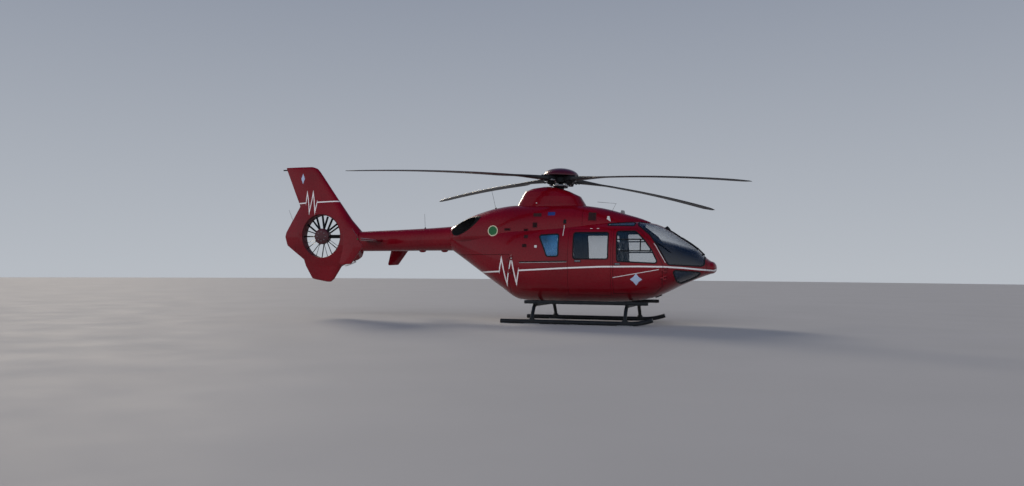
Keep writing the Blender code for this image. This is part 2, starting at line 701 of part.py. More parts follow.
def build_cowls(aft):
    roof = pod("roof_form", grow=GAP)
    shell = boolean(cowl("cowl_shell"), roof)
    boolean(shell, cowl("cowl_space", grow=-COWL_SKIN))
    pipes = [exhaust_form("exhaust_hole_" + side_name, side, EXHAUST_RADIUS + GAP, reach=0.02)
             for side_name, side in SIDES]
    for pipe in pipes:
        boolean(shell, pipe)
        boolean(aft, pipe)
    far = BEYOND
    mast_hole = rod("mast_hole", (0, 0, MACHINERY_FOOT), (0, 0, far), MAST_RADIUS + MAST_HOLE)
    mast_hole.data.transform(mast_tilt())
    between("cowl_forward", shell, (COWL_SPLIT + GAP, -far, 0.0), (far, far, far), "red_paint")
    for side_name, side in SIDES:
        low, high = sorted((side * GAP, side * far))
        body = between("cowl_engine_" + side_name, shell, (-far, low, 0.0), (COWL_SPLIT, high, far), "red_paint")
        boolean(body, mast_hole)
    hood = fairing("gearbox_fairing", material="red_paint")
    boolean(hood, fairing("fairing_space", grow=-COWL_SKIN))
    boolean(hood, cowl("cowl_under", grow=GAP))
    boolean(hood, mast_hole)

    space = cowl("engine_space", grow=-COWL_SKIN - GAP)
    for side_name, side in SIDES:
        low, top = sorted((side * ENGINE_INNER, side * ENGINE_OUTER))
        engine = block("engine_" + side_name, (ENGINE_REAR, low, MACHINERY_FOOT), (ENGINE_FRONT, top, ENGINE_TOP),
                       "grey_metal")
        boolean(engine, space, "INTERSECT")
        boolean(engine, roof)
        pipe = exhaust_form("exhaust_" + side_name, side, EXHAUST_RADIUS, "dark_metal")
        boolean(pipe, exhaust_form("exhaust_bore", side, EXHAUST_RADIUS - EXHAUST_WALL, reach=0.2))
        ends = pod("proud_pod", grow=EXHAUST_PROUD)
        boolean(ends, cowl("proud_cowl", grow=EXHAUST_PROUD), "UNION")
        boolean(pipe, ends, "INTERSECT")
    gear = block("gearbox", (-GEARBOX_HALF, -GEARBOX_HALF, MACHINERY_FOOT), (GEARBOX_HALF, GEARBOX_HALF,
                                                                            GEARBOX_CASE_TOP), "grey_metal")
    tower = rod("gearbox_tower", (0, 0, GEARBOX_CASE_TOP - 0.1), (0, 0, GEARBOX_TOP), MAST_RADIUS + TOWER_WALL)
    tower.data.transform(mast_tilt())
    boolean(gear, space, "INTERSECT")
    boolean(gear, tower, "UNION")
    boolean(gear, roof)


def exhaust_form(name, side, radius, material=None, reach=0.0):
    start, end = (Vector((x, y * side, z)) for x, y, z in (EXHAUST_START, EXHAUST_END))
    step = (end - start).normalized() * reach
    return rod(name, start - step, end + step, radius, material)


# Tail

def boom(name, grow=0.0, reach=0.0, material=None):
    rings = []
    for x, low, high, half in BOOM:
        x += reach if x == BOOM[0][0] else (-reach if x == BOOM[-1][0] else 0.0)
        ring = oval(half + grow, low - grow, high + grow, (low + high) / 2, BOOM_FULLNESS, BOOM_FULLNESS,
                    BOOM_POINTS)
        rings.append([(x, y, z) for y, z in ring])
    return lofted(name, rings, material)


def wing_section(front, rear, half, count):
    """Points round a blunt-nosed section that ends in a thin trailing edge."""
    chord = front - rear
    shares = [0.5 - 0.5 * math.cos(math.pi * k / (count // 2)) for k in range(count // 2 + 1)]

    def thick(share):
        nose = min(1.0, math.sqrt(max(share, 0.0) / 0.16))
        tail = 1.0 if share < 0.55 else 1.0 - 0.86 * ((share - 0.55) / 0.45) ** 1.6
        return half * nose * tail
    upper = [(front - share * chord, thick(share)) for share in shares]
    lower = [(x, -y) for x, y in reversed(upper[1:])]
    return upper + lower


def build_tail():
    skin = boom("tail_boom", reach=-GAP, material="red_paint")
    boolean(skin, boom("boom_space", grow=-BOOM_SKIN, reach=0.1))
    end = BOOM[-1][0]

    rings = [[(x, y, height) for x, y in wing_section(front, rear, half, FIN_POINTS)]
             for height, front, rear, half in FIN]
    fin = lofted("fin", rings, "red_paint")
    boolean(fin, block("boom_side", (end - GAP, -BEYOND, -BEYOND), (BEYOND, BEYOND, BEYOND)))
    rear, front, low, high, half = FIN_TAB
    boolean(fin, block("fin_tab", (rear, -half, low), (front, half, high)), "UNION")
    duct = duct_form("duct", DUCT_RADIUS)
    boolean(fin, duct)

    stabiliser()
    slot = block("stabiliser_slot", (STABILISER_FRONT - STABILISER_CHORD - GAP, -1.0, STABILISER_HEIGHT -
                                     STABILISER_THICKNESS / 2 - GAP),
                 (STABILISER_FRONT + GAP, 1.0, STABILISER_HEIGHT + STABILISER_THICKNESS / 2 + GAP))
    boolean(skin, slot)


def duct_form(name, radius):
    """The fan duct as a turned cutter with flared lips."""
    wide = radius + DUCT_LIP
    profile = ((wide, -DUCT_MOUTH * 2), (wide, -DUCT_MOUTH), (radius, -DUCT_THROAT), (radius, DUCT_THROAT),
               (wide, DUCT_MOUTH), (wide, DUCT_MOUTH * 2))
    return turned(name, profile, Matrix.Translation((FAN_X, 0, FAN_Z)) @ Matrix.Rotation(-math.pi / 2, 4, "X"), 40)


def turned(name, profile, matrix, steps, material=None):
    """A profile of radius and height turned into a closed body about its own Z."""
    rings = []
    for radius, height in profile:
        rings.append([(radius * math.cos(2 * math.pi * k / steps), radius * math.sin(2 * math.pi * k / steps), height)
                      for k in range(steps)])
    made = lofted(name, rings, material)
    made.data.transform(matrix)
    return made


def stabiliser():
    half = STABILISER_THICKNESS / 2
    rear = STABILISER_FRONT - STABILISER_CHORD
    rings = []
    for y in (-STABILISER_HALF_SPAN, STABILISER_HALF_SPAN):
        ring = wing_section(STABILISER_FRONT, rear, half, 16)
        rings.append([(x, y, STABILISER_HEIGHT + z) for x, z in ring])
    plane = lofted("stabiliser", rings, "red_paint")
    for side in (1, -1):
        low, high = sorted((side * (STABILISER_HALF_SPAN - 0.02), side * (STABILISER_HALF_SPAN - 0.02 +
                                                                         END_PLATE_THICKNESS)))
        boolean(plane, plate("end_plate", END_PLATE, low, high), "UNION")
    return plane


# Fan

def build_fan():
    spin = Matrix.Translation((FAN_X, FAN_Y, FAN_Z)) @ Matrix.Rotation(-math.pi / 2, 4, "X")
    half = FAN_HUB_DEPTH / 2
    hub = turned("tail_fan", ((FAN_HUB_RADIUS * 0.72, -half), (FAN_HUB_RADIUS, -half * 0.55), (FAN_HUB_RADIUS, half)),
                 Matrix.Identity(4), 32, "blade_grey")
    for k in range(FAN_BLADES):
        blade = fan_blade(FAN_HUB_RADIUS - ROOT_OVERLAP, FAN_RADIUS, FAN_BLADE_CHORD, FAN_BLADE_THICKNESS,
                          FAN_BLADE_PITCH)
        blade.data.transform(Matrix.Rotation(2 * math.pi * k / FAN_BLADES, 4, "Z"))
        boolean(hub, blade, "UNION")
    hub.data.transform(spin)

    stator_y = FAN_Y + half + RUNNING
    where = Matrix.Translation((FAN_X, stator_y, FAN_Z)) @ Matrix.Rotation(-math.pi / 2, 4, "X")
    stator = turned("tail_stator", ((STATOR_HUB_RADIUS, 0.0), (STATOR_HUB_RADIUS, STATOR_HUB_DEPTH * 0.6),
                                    (STATOR_HUB_RADIUS * 0.6, STATOR_HUB_DEPTH)), Matrix.Identity(4), 32,
                    "blade_grey")
    arm_high, arm_deep = STATOR_ARM
    reach = DUCT_RADIUS - GAP
    middle = STATOR_HUB_DEPTH * 0.55
    arm = block("stator_arm", (STATOR_HUB_RADIUS / 2, -arm_high / 2, ROOT_OVERLAP), (reach, arm_high / 2, arm_deep))
    boolean(stator, arm, "UNION")
    for k in range(1, STATOR_VANES):
        vane = fan_blade(STATOR_HUB_RADIUS - ROOT_OVERLAP, reach, STATOR_CHORD, STATOR_THICKNESS, STATOR_PITCH)
        vane.data.transform(Matrix.Rotation(2 * math.pi * k / STATOR_VANES, 4, "Z") @
                            Matrix.Translation((0, 0, middle)))
        boolean(stator, vane, "UNION")
    stator.data.transform(where)
    boolean(stator, rod("duct_wall", (FAN_X, -1, FAN_Z), (FAN_X, 1, FAN_Z), reach, sides=40), "INTERSECT")


def fan_blade(root, tip, chord, thickness, pitch):
    """A flat blade along +X, turned about its length by its pitch."""
    blade = block("fan_blade", (root, -chord / 2, -thickness / 2), (tip, chord / 2, thickness / 2))
    blade.data.transform(Matrix.Rotation(math.radians(pitch), 4, "X"))
    return blade


# Main rotor

def mast_tilt():
    """From the mast's own frame to the aircraft's: the mast leans forward about the middle of the hub."""
    middle = Matrix.Translation((0, 0, HUB_HEIGHT))
    return middle @ Matrix.Rotation(math.radians(MAST_TILT), 4, "Y") @ middle.inverted()


def build_rotor():
    place_at = mast_tilt()
    low, high = HUB_HEIGHT - HUB_DEPTH / 2, HUB_HEIGHT + HUB_DEPTH / 2
    hub = turned("rotor_hub", ((MAST_RADIUS, GEARBOX_TOP + RUNNING), (MAST_RADIUS, low - 0.001), (HUB_RADIUS, low),
                               (HUB_RADIUS, high)), Matrix.Identity(4), 28, "black_coat")
    reach, width, depth = HUB_ARM
    for k in range(BLADES):
        turn = Matrix.Rotation(math.radians(BLADE_AZIMUTH) + 2 * math.pi * k / BLADES, 4, "Z")
        arm = block("hub_arm", (0.05, -width / 2, HUB_HEIGHT - depth / 2), (reach, width / 2, HUB_HEIGHT + depth / 2))
        arm.data.transform(turn)
        boolean(hub, arm, "UNION")
        blade = main_blade("main_blade_%d" % (k + 1))
        blade.data.transform(place_at @ turn)
    hub.data.transform(place_at)
    base = HUB_HEIGHT + CAP_BASE + GAP
    profile = [(CAP_RADIUS * math.cos(math.radians(a)), base + CAP_RISE * math.sin(math.radians(a)))
               for a in (0, 15, 30, 45, 60, 75)]
    profile.append((0.02, base + CAP_RISE))
    turned("hub_cap", profile, place_at, 32, "red_paint")


def main_blade(name):
    rings = []
    for share, chord, thickness, ahead in BLADE:
        radius = BLADE_ROOT + share * (BLADE_TIP - BLADE_ROOT)
        lift = HUB_HEIGHT + math.radians(BLADE_CONE) * (radius - BLADE_ROOT)
        lift -= BLADE_DROOP * ((radius - BLADE_ROOT) / (BLADE_TIP - BLADE_ROOT)) ** 2
        half = thickness / 2
        section = ((ahead, 0.0), (ahead - 0.12 * chord, half * 0.85), (ahead - 0.35 * chord, half),
                   (ahead - 0.7 * chord, half * 0.6), (ahead - chord, 0.002), (ahead - chord, -0.002),
                   (ahead - 0.7 * chord, -half * 0.6), (ahead - 0.35 * chord, -half),
                   (ahead - 0.12 * chord, -half * 0.85))
        if share < 0.1:
            section = oval(chord / 2, -half, half, 0.0, 4.0, 4.0, 9)
        rings.append([(radius, y, lift + z) for y, z in section])
    return lofted(name, rings, "blade_grey")


# Skid gear

def cross_tube(name, x, grow=0.0, material=None):
    y, z = SHOULDER
    half = [(x, SKID_Y, LEG_FOOT), (x, SKID_Y, LEG_KNEE), (x, y + 0.02, z - 0.03),
            (x, y - 0.03, z + 0.01), (x, CROSS_BEND, CROSS_HEIGHT)]
    points = half + [(px, -py, pz) for px, py, pz in reversed(half)]
    return tube(name, points, CROSS_RADIUS + grow, material, 3)


def build_gear(lower):
    for name, x in CROSS_TUBES:
        cross_tube("cross_tube_" + name, x, 0.0, "black_coat")
    for side_name, side in SIDES:
        y = side * SKID_Y
        run = SKID_FRONT - SKID_TURN_UP
        nose = [(SKID_TURN_UP + run * k / 6, y, SKID_RADIUS + SKID_RISE * (k / 6) ** 2) for k in range(7)]
        skid = tube("skid_" + side_name, [(SKID_REAR, y, SKID_RADIUS)] + nose, SKID_RADIUS, "black_coat", 3)
        for name, x in CROSS_TUBES:
            length, width, height = SKID_SOCKET
            boolean(skid, block("skid_socket", (x - length / 2, y - width / 2, SKID_RADIUS),
                                (x + length / 2, y + width / 2, SKID_RADIUS + height)), "UNION")
            length, width = SKID_PAD
            boolean(skid, block("skid_pad", (x - length / 2, y - width / 2, 0.0),
                                (x + length / 2, y + width / 2, SKID_RADIUS)), "UNION")
        half = STEP_WIDTH / 2
        step = block("step_" + side_name, (STEP_REAR, side * STEP_Y - half, STEP_Z - STEP_DEPTH / 2),
                     (STEP_FRONT, side * STEP_Y + half, STEP_Z + STEP_DEPTH / 2), "black_coat")
        for name, x in CROSS_TUBES:
            length, width = STEP_POST
            boolean(step, block("step_post", (x - length / 2, side * STEP_POST_Y - width / 2, STEP_POST_FOOT),
                                (x + length / 2, side * STEP_POST_Y + width / 2, STEP_Z)), "UNION")
            boolean(step, cross_tube("step_post_seat", x, GAP))
    for name, x in CROSS_TUBES:
        for side in (1, -1):
            length, width = SADDLE
            y = side * SADDLE_Y
            low, high = SADDLE_HEIGHTS
            boolean(lower, block("saddle", (x - length / 2, y - width / 2, low),
                                 (x + length / 2, y + width / 2, high)), "UNION")
        boolean(lower, cross_tube("saddle_bore", x, GAP))
    length, width, depth = HOOK_PLATE
    belly = along(POD, 1, HOOK_PLATE_X)
    boolean(lower, block("hook_plate", (HOOK_PLATE_X - length / 2, -width / 2, belly - depth),
                         (HOOK_PLATE_X + length / 2, width / 2, belly + 0.02)), "UNION")


def centre_on_origin():
    """Put the origin on the ground under the middle of the aircraft's whole length."""
    xs = [point.co.x for item in PARTS.objects for point in item.data.vertices]
    shift = -(min(xs) + max(xs)) / 2
    for item in list(PARTS.objects) + list(CUTTERS.objects):
        item.data.transform(Matrix.Translation((shift, 0, 0)))
    return shift


def turn_about(shift):
    """Give each moving piece an origin on the axis that it turns about."""
    pivots = {"rotor_hub": (0, 0, HUB_HEIGHT), "hub_cap": (0, 0, HUB_HEIGHT), "tail_fan": (FAN_X, FAN_Y, FAN_Z)}
    for k in range(BLADES):
        pivots["main_blade_%d" % (k + 1)] = (0, 0, HUB_HEIGHT)
    for side_name, side in SIDES:
        for kind in ("front_door_", "front_window_"):
            pivots[kind + side_name] = (FRONT_HINGE[0], side * FRONT_HINGE[1], sum(FRONT_HINGE_HEIGHTS) / 2)
        pivots["clamshell_" + side_name] = (REAR_HINGE[0], side * REAR_HINGE[1], sum(REAR_HINGE_HEIGHTS) / 2)
    for name, pivot in pivots.items():
        where = Vector(pivot) + Vector((shift, 0, 0))
        item = PARTS.objects[name]
        item.data.transform(Matrix.Translation(-where))
        item.location = where


clear_scene()
PARTS = collection("helicopter")
CUTTERS = collection("cutters")
HULL = build_fuselage()
build_interior()
build_cowls(HULL["aft_fuselage"])
build_tail()
build_fan()
build_rotor()
build_gear(HULL["lower_fuselage"])
turn_about(centre_on_origin())
for piece in PARTS.objects:
    smooth_shaded(piece)
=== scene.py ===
"""Looks of a light twin helicopter parked on its skids, in metres, with +X to the nose and +Y to port.

Shapes are drawn with X counted from the rotor mast and moved by SHIFT once they are finished.
"""
import math
from functools import partial

import bmesh
import bpy
import numpy as np
from mathutils import Matrix, Vector
from mathutils.bvhtree import BVHTree
from mathutils.interpolate import poly_3d_calc


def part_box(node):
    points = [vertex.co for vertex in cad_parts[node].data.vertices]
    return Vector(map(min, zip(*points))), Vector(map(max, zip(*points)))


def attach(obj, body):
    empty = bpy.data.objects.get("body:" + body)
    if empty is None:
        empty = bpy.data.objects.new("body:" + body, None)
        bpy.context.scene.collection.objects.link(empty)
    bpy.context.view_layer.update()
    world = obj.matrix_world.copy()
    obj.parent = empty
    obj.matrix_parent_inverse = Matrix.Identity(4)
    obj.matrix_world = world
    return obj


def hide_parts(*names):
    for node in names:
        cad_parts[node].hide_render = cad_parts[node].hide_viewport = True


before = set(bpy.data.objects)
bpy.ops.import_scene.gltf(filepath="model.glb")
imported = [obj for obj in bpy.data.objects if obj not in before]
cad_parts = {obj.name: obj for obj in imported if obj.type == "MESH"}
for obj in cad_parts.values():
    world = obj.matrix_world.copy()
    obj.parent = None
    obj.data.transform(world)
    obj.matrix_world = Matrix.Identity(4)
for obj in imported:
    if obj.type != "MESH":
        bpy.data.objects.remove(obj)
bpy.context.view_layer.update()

SCENE = bpy.context.scene
MAST_X = (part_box("gearbox")[0][0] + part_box("gearbox")[1][0]) / 2
SHIFT = Matrix.Translation((MAST_X, 0, 0))
SIDES = (("left", 1), ("right", -1))
UP, DOWN = (0, 0, 1), (0, 0, -1)


def moved(x, y, z):
    return Matrix.Translation((x, y, z))


def swung(degrees, axis="Z"):
    return Matrix.Rotation(math.radians(degrees), 4, axis)


# Hull

SEAM = 0.005            # dark line round a fixed panel
SKIN = 0.036
COWL_SKIN = 0.022
PANE = 0.006
PANE_INSET = 0.006
GAP = 0.0004            # between pieces that rest on each other
AROUND = 112
STEP = 0.035            # between the sections of a fine skin
OUTSIDE = 1.500         # Y beyond the hull, where side cuts end
ON_SKIN = 0.004         # a point this near a skin takes its curve

# Station, underside, top, half width, height of the widest line, squareness of the section
POD = (
    (3.352, 1.182, 1.196, 0.004, 1.190, 2.0),
    (3.344, 1.140, 1.240, 0.075, 1.190, 2.0),
    (3.300, 1.090, 1.290, 0.170, 1.188, 2.1),
    (3.131, 1.034, 1.407, 0.345, 1.185, 2.3),
    (2.961, 0.968, 1.605, 0.460, 1.185, 2.45),
    (2.619, 0.818, 1.834, 0.610, 1.190, 2.65),
    (2.341, 0.677, 2.012, 0.692, 1.195, 2.8),
    (2.043, 0.556, 2.130, 0.742, 1.200, 2.9),
    (1.600, 0.480, 2.182, 0.774, 1.200, 3.0),
    (0.900, 0.455, 2.190, 0.780, 1.200, 3.0),
    (-0.450, 0.450, 2.180, 0.780, 1.240, 3.0),
    (-0.836, 0.475, 2.170, 0.770, 1.300, 3.0),
    (-1.250, 0.720, 2.160, 0.715, 1.420, 2.9),
    (-1.700, 1.015, 2.145, 0.590, 1.560, 2.7),
    (-2.125, 1.298, 2.130, 0.420, 1.700, 2.5),
    (-2.520, 1.558, 2.112, 0.262, 1.835, 2.3),
)

# Station, top, half width of the cowl over the roof
COWL = (
    (1.980, 2.160, 0.140),
    (1.800, 2.235, 0.270),
    (1.547, 2.313, 0.360),
    (0.872, 2.490, 0.500),
    (0.100, 2.572, 0.600),
    (-0.982, 2.560, 0.640),
    (-1.450, 2.500, 0.615),
    (-1.734, 2.426, 0.575),
    (-1.934, 2.363, 0.530),
    (-2.200, 2.250, 0.440),
    (-2.380, 2.157, 0.340),
    (-2.500, 2.118, 0.250),
)
COWL_FOOT = 1.88
COWL_SPLIT = 0.60

# Height, front, rear, half width of the fairing over the rotor gearbox
FAIRING = (
    (2.400, 0.640, -1.080, 0.360),
    (2.560, 0.560, -0.980, 0.340),
    (2.740, 0.450, -0.880, 0.300),
    (2.860, 0.200, -0.810, 0.255),
    (2.930, 0.000, -0.640, 0.200),
    (2.962, -0.180, -0.400, 0.120),
)

# Station, underside, top, half width of the tail boom
BOOM = (
    (-2.520, 1.558, 2.112, 0.262),
    (-3.122, 1.556, 2.077, 0.238),
    (-3.878, 1.550, 2.046, 0.208),
    (-4.900, 1.545, 2.011, 0.168),
)

# Height, leading edge, trailing edge, half thickness of the fin
FIN = (
    (0.812, -5.690, -5.800, 0.020),
    (0.880, -5.600, -6.190, 0.034),
    (1.190, -5.400, -6.380, 0.060),
    (1.290, -5.110, -6.415, 0.095),
    (1.345, -4.960, -6.430, 0.110),
    (1.545, -4.700, -6.702, 0.160),
    (1.690, -4.600, -6.896, 0.168),
    (1.900, -4.600, -6.960, 0.168),
    (2.011, -4.880, -6.930, 0.168),
    (2.300, -5.151, -6.757, 0.160),
    (2.637, -5.403, -6.556, 0.118),
    (2.786, -5.514, -6.620, 0.088),
    (3.469, -6.016, -6.914, 0.062),
    (3.560, -6.100, -6.955, 0.050),
    (3.600, -6.230, -6.960, 0.024),
)

NOSE_JOINT = 3.165
SILL = 1.190
REAR_JOINT = -0.950
DOOR_SEAM = 0.008

# Outlines seen from the side: X, Z
FRONT_DOOR = ((1.310, 0.650), (2.120, 0.650), (2.290, 0.790), (2.318, 1.240), (2.120, 1.640), (1.865, 1.930),
              (1.760, 1.985), (1.310, 1.985))
FRONT_DOOR_WINDOW = ((1.385, 1.313), (2.226, 1.275), (2.095, 1.552), (1.948, 1.754), (1.790, 1.915),
                     (1.740, 1.945), (1.370, 1.945))
SLIDING_DOOR = ((0.350, 0.610), (1.255, 0.610), (1.255, 1.985), (0.350, 1.985))
SLIDING_DOOR_WINDOW = ((0.460, 1.361), (1.198, 1.361), (1.198, 1.920), (0.454, 1.923))
REAR_WINDOW = ((-0.114, 1.414), (0.139, 1.415), (0.136, 1.896), (-0.308, 1.873), (-0.180, 1.590))
WINDSCREEN = ((1.785, 2.600), (1.785, 2.080), (2.046, 1.867), (2.200, 1.650), (2.425, 1.250), (3.060, 1.222),
              (3.125, 1.250), (3.125, 2.600))
CHIN_WINDOW = ((2.510, 1.140), (2.580, 0.905), (2.650, 0.862), (2.840, 0.940), (2.990, 1.015), (3.075, 1.100))
CLAMSHELL_FRONT, CLAMSHELL_REAR = REAR_JOINT - DOOR_SEAM, -2.315
CLAMSHELL = ((CLAMSHELL_FRONT, 0.200), (CLAMSHELL_FRONT, 1.450), (CLAMSHELL_REAR, 1.450),
             (CLAMSHELL_REAR, 0.200))
ROOF_WINDOW = ((1.150, 0.455), (1.720, 0.360), (1.720, 0.530), (1.150, 0.535))      # X, Y from above
CORNER = 0.045
CENTRE_POST = 0.030      # half the post between the windscreens

FAN_X = -5.915
FAN_Z = 1.902
EXHAUST_START = (-1.470, 0.330, 2.232)
EXHAUST_END = (-2.520, 0.450, 2.000)
EXHAUST_RADIUS = 0.160
EXHAUST_WALL = 0.012
EXHAUST_PROUD = 0.012    # how far the pipe stands out of the skins
HUB_HEIGHT = 3.125
MAST_LEAN = 2.1          # degrees
MAST_TILT = moved(0, 0, HUB_HEIGHT) @ swung(MAST_LEAN, "Y") @ moved(0, 0, -HUB_HEIGHT)
CROSS_TUBES = {"front": 1.600, "rear": -0.358}


# Meshes

def add_object(name, mesh):
    made = bpy.data.objects.new(name, mesh)
    SCENE.collection.objects.link(made)
    return made


def built(name, build, outward=True):
    """An object whose mesh the given function fills through bmesh."""
    mesh = bpy.data.meshes.new(name)
    shape = bmesh.new()
    build(shape)
    if outward:
        bmesh.ops.recalc_face_normals(shape, faces=shape.faces)
    shape.to_mesh(mesh)
    shape.free()
    return add_object(name, mesh)


def stitch(shape, near, far):
    """Faces between two rows of equally many points."""
    for a, b, c, d in zip(near, near[1:], far[1:], far):
        shape.faces.new((a, b, c, d))


def loft(name, rings):
    """A closed skin over rings of equally many points."""
    def build(shape):
        rows = [[shape.verts.new(point) for point in ring] for ring in rings]
        for near, far in zip(rows, rows[1:]):
            stitch(shape, near + near[:1], far + far[:1])
        shape.faces.new(rows[0])
        shape.faces.new(rows[-1])
    return built(name, build)


def turned(name, profile, steps, matrix=None):
    """A body turned about Z from radius and height pairs, then placed."""
    def build(shape):
        for k in range(steps):
            turn = 2 * math.pi * k / steps
            for radius, height in profile:
                shape.verts.new((radius * math.cos(turn), radius * math.sin(turn), height))
        shape.verts.ensure_lookup_table()
        rows = len(profile)
        for k in range(steps):
            for j in range(rows - 1):
                a, b = k * rows + j, (k + 1) % steps * rows + j
                shape.faces.new([shape.verts[i] for i in (a, b, b + 1, a + 1)])
        shape.faces.new([shape.verts[k * rows] for k in range(steps)])
        shape.faces.new([shape.verts[k * rows + rows - 1] for k in range(steps)])
        bmesh.ops.remove_doubles(shape, verts=shape.verts, dist=1e-6)
    made = built(name, build)
    if matrix:
        made.data.transform(matrix)
    return made


def block(name, low, high, bevel=0.0, matrix=None):
    """A box between two corners, with rounded edges."""
    size = Vector(high) - Vector(low)
    where = Matrix.Translation((Vector(high) + Vector(low)) / 2) @ Matrix.Diagonal((*size, 1.0))

    def build(shape):
        bmesh.ops.create_cube(shape, size=1.0, matrix=where)
        if bevel:
            bmesh.ops.bevel(shape, geom=shape.edges, offset=bevel, segments=2, profile=0.5, affect="EDGES")
    made = built(name, build)
    if matrix:
        made.data.transform(matrix)
    return made


def slab(name, half_x, half_y, low, high, bevel, matrix):
    """A box centred in X and Y, then placed."""
    return block(name, (-half_x, -half_y, low), (half_x, half_y, high), bevel, matrix)


def tube(name, points, radius, sides=5, closed=False, smooth=False):
    """A round bar along points, through them as a smooth line where asked."""
    data = bpy.data.curves.new(name, "CURVE")
    data.dimensions = "3D"
    data.bevel_depth = radius
    data.bevel_resolution = sides
    data.use_fill_caps = True
    data.resolution_u = 6
    line = data.splines.new("BEZIER" if smooth else "POLY")
    spots = line.bezier_points if smooth else line.points
    spots.add(len(points) - 1)
    for spot, point in zip(spots, points):
        if smooth:
            spot.co = point
            spot.handle_left_type = spot.handle_right_type = "AUTO"
        else:
            spot.co = (*point, 1.0)
    line.use_cyclic_u = closed
    return to_mesh(add_object(name, data))


def plate(name, outline, low, high, along="Y", bevel=0.0):
    """A flat outline given a thickness along Y (drawn in X, Z) or Z (drawn in X, Y)."""
    data = bpy.data.curves.new(name, "CURVE")
    data.dimensions = "2D"
    data.fill_mode = "BOTH"
    data.extrude = (high - low) / 2 - bevel
    data.bevel_depth = bevel
    data.bevel_resolution = 2
    line = data.splines.new("POLY")
    line.points.add(len(outline) - 1)
    for spot, (a, b) in zip(line.points, outline):
        spot.co = (a, b, 0.0, 1.0)
    line.use_cyclic_u = True
    made = to_mesh(add_object(name, data))
    middle = (high + low) / 2
    if along == "Y":
        made.data.transform(moved(0, middle, 0) @ swung(90, "X"))
    else:
        made.data.transform(moved(0, 0, middle))
    return made


def evaluated(item):
    """The mesh that an object shows with its modifiers applied."""
    SCENE.view_layers[0].update()
    return bpy.data.meshes.new_from_object(item.evaluated_get(bpy.context.evaluated_depsgraph_get()))


def to_mesh(item):
    """A plain mesh object in place of a curve or of an object with modifiers, with its seams closed."""
    mesh = evaluated(item)
    name = item.name
    drop(item)
    shape = bmesh.new()
    shape.from_mesh(mesh)
    bmesh.ops.remove_doubles(shape, verts=shape.verts, dist=0.00002)
    bmesh.ops.recalc_face_normals(shape, faces=shape.faces)
    shape.to_mesh(mesh)
    shape.free()
    return add_object(name, mesh)


def copied(item, name):
    return add_object(name, item.data.copy())


def drop(*items):
    for item in items:
        bpy.data.objects.remove(item, do_unlink=True)


def carve(target, cutter, operation="DIFFERENCE", keep=False):
    """Cut, join or cross two closed bodies."""
    step = target.modifiers.new("carve", "BOOLEAN")
    step.operation = operation
    step.solver = "MANIFOLD"
    step.object = cutter
    mesh = evaluated(target)
    target.modifiers.clear()
    target.data = mesh
    if not keep:
        drop(cutter)
    return target


def joined(name, items):
    """One object of several meshes."""
    shape = bmesh.new()
    for item in items:
        shape.from_mesh(item.data)
    mesh = bpy.data.meshes.new(name)
    shape.to_mesh(mesh)
    shape.free()
    drop(*items)
    return add_object(name, mesh)


def shaded(item, angle):
    item.data.shade_smooth()
    item.data.set_sharp_from_angle(angle=math.radians(angle))
    return item


def dress(item, *finishes):
    """Give a piece its finishes in place of those that it has."""
    item.data.materials.clear()
    for finish in finishes:
        item.data.materials.append(finish)


def take_curve(item, sources, finishes):
    """Faces on a source skin take its smooth normals and its own finish; cut faces stay flat."""
    dress(item, *finishes)
    mesh = item.data
    trees = []
    for source in sources:
        data = source.data
        polygons = [tuple(p.vertices) for p in data.polygons]
        trees.append((BVHTree.FromPolygons([v.co for v in data.vertices], polygons), data, {}))

    def normal_at(tree, data, known, index):
        if index not in known:
            spot, _, face, far = tree.find_nearest(mesh.vertices[index].co)
            if far is None or far > ON_SKIN:
                known[index] = None
            else:
                around = data.polygons[face].vertices
                shares = poly_3d_calc([data.vertices[i].co for i in around], spot)
                known[index] = sum((data.vertices[i].normal * s for i, s in zip(around, shares)), Vector())
        return known[index]
    loops = [None] * len(mesh.loops)
    for polygon in mesh.polygons:
        chosen = [polygon.normal] * len(polygon.vertices)
        for k, (tree, data, known) in enumerate(trees):
            found = [normal_at(tree, data, known, i) for i in polygon.vertices]
            if any(n is None for n in found):
                continue
            facing = min((abs(n.dot(polygon.normal)) for n in found))
            if facing > 0.75:
                sign = 1 if found[0].dot(polygon.normal) > 0 else -1
                chosen = [n * sign for n in found]
                polygon.material_index = k
                break
        for loop, normal in zip(polygon.loop_indices, chosen):
            loops[loop] = normal.normalized()
    mesh.shade_smooth()
    mesh.normals_split_custom_set(loops)


def settle(item, body, nodes, finish=None):
    """Move a finished piece to its place, let it ride, and hide the parts of model.glb that it stands for."""
    item.data.transform(SHIFT)
    if finish:
        dress(item, finish)
    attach(item, body)
    if nodes:
        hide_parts(*nodes)
    return item


def fit(item, finish, body="airframe", nodes=(), angle=35):
    """Settle a piece of one finish, shaded smooth up to an angle unless that is None."""
    if angle:
        shaded(item, angle)
    return settle(item, body, nodes, finish)


# Lines and sections

def arc(across, up, angles, centre=(0.0, 0.0)):
    """Points of an ellipse round a centre, at angles in degrees."""
    return [(centre[0] + across * math.cos(math.radians(a)), centre[1] + up * math.sin(math.radians(a)))
            for a in angles]


def oblong(half_x, half_y):
    return [(-half_x, -half_y), (half_x, -half_y), (half_x, half_y), (-half_x, half_y)]


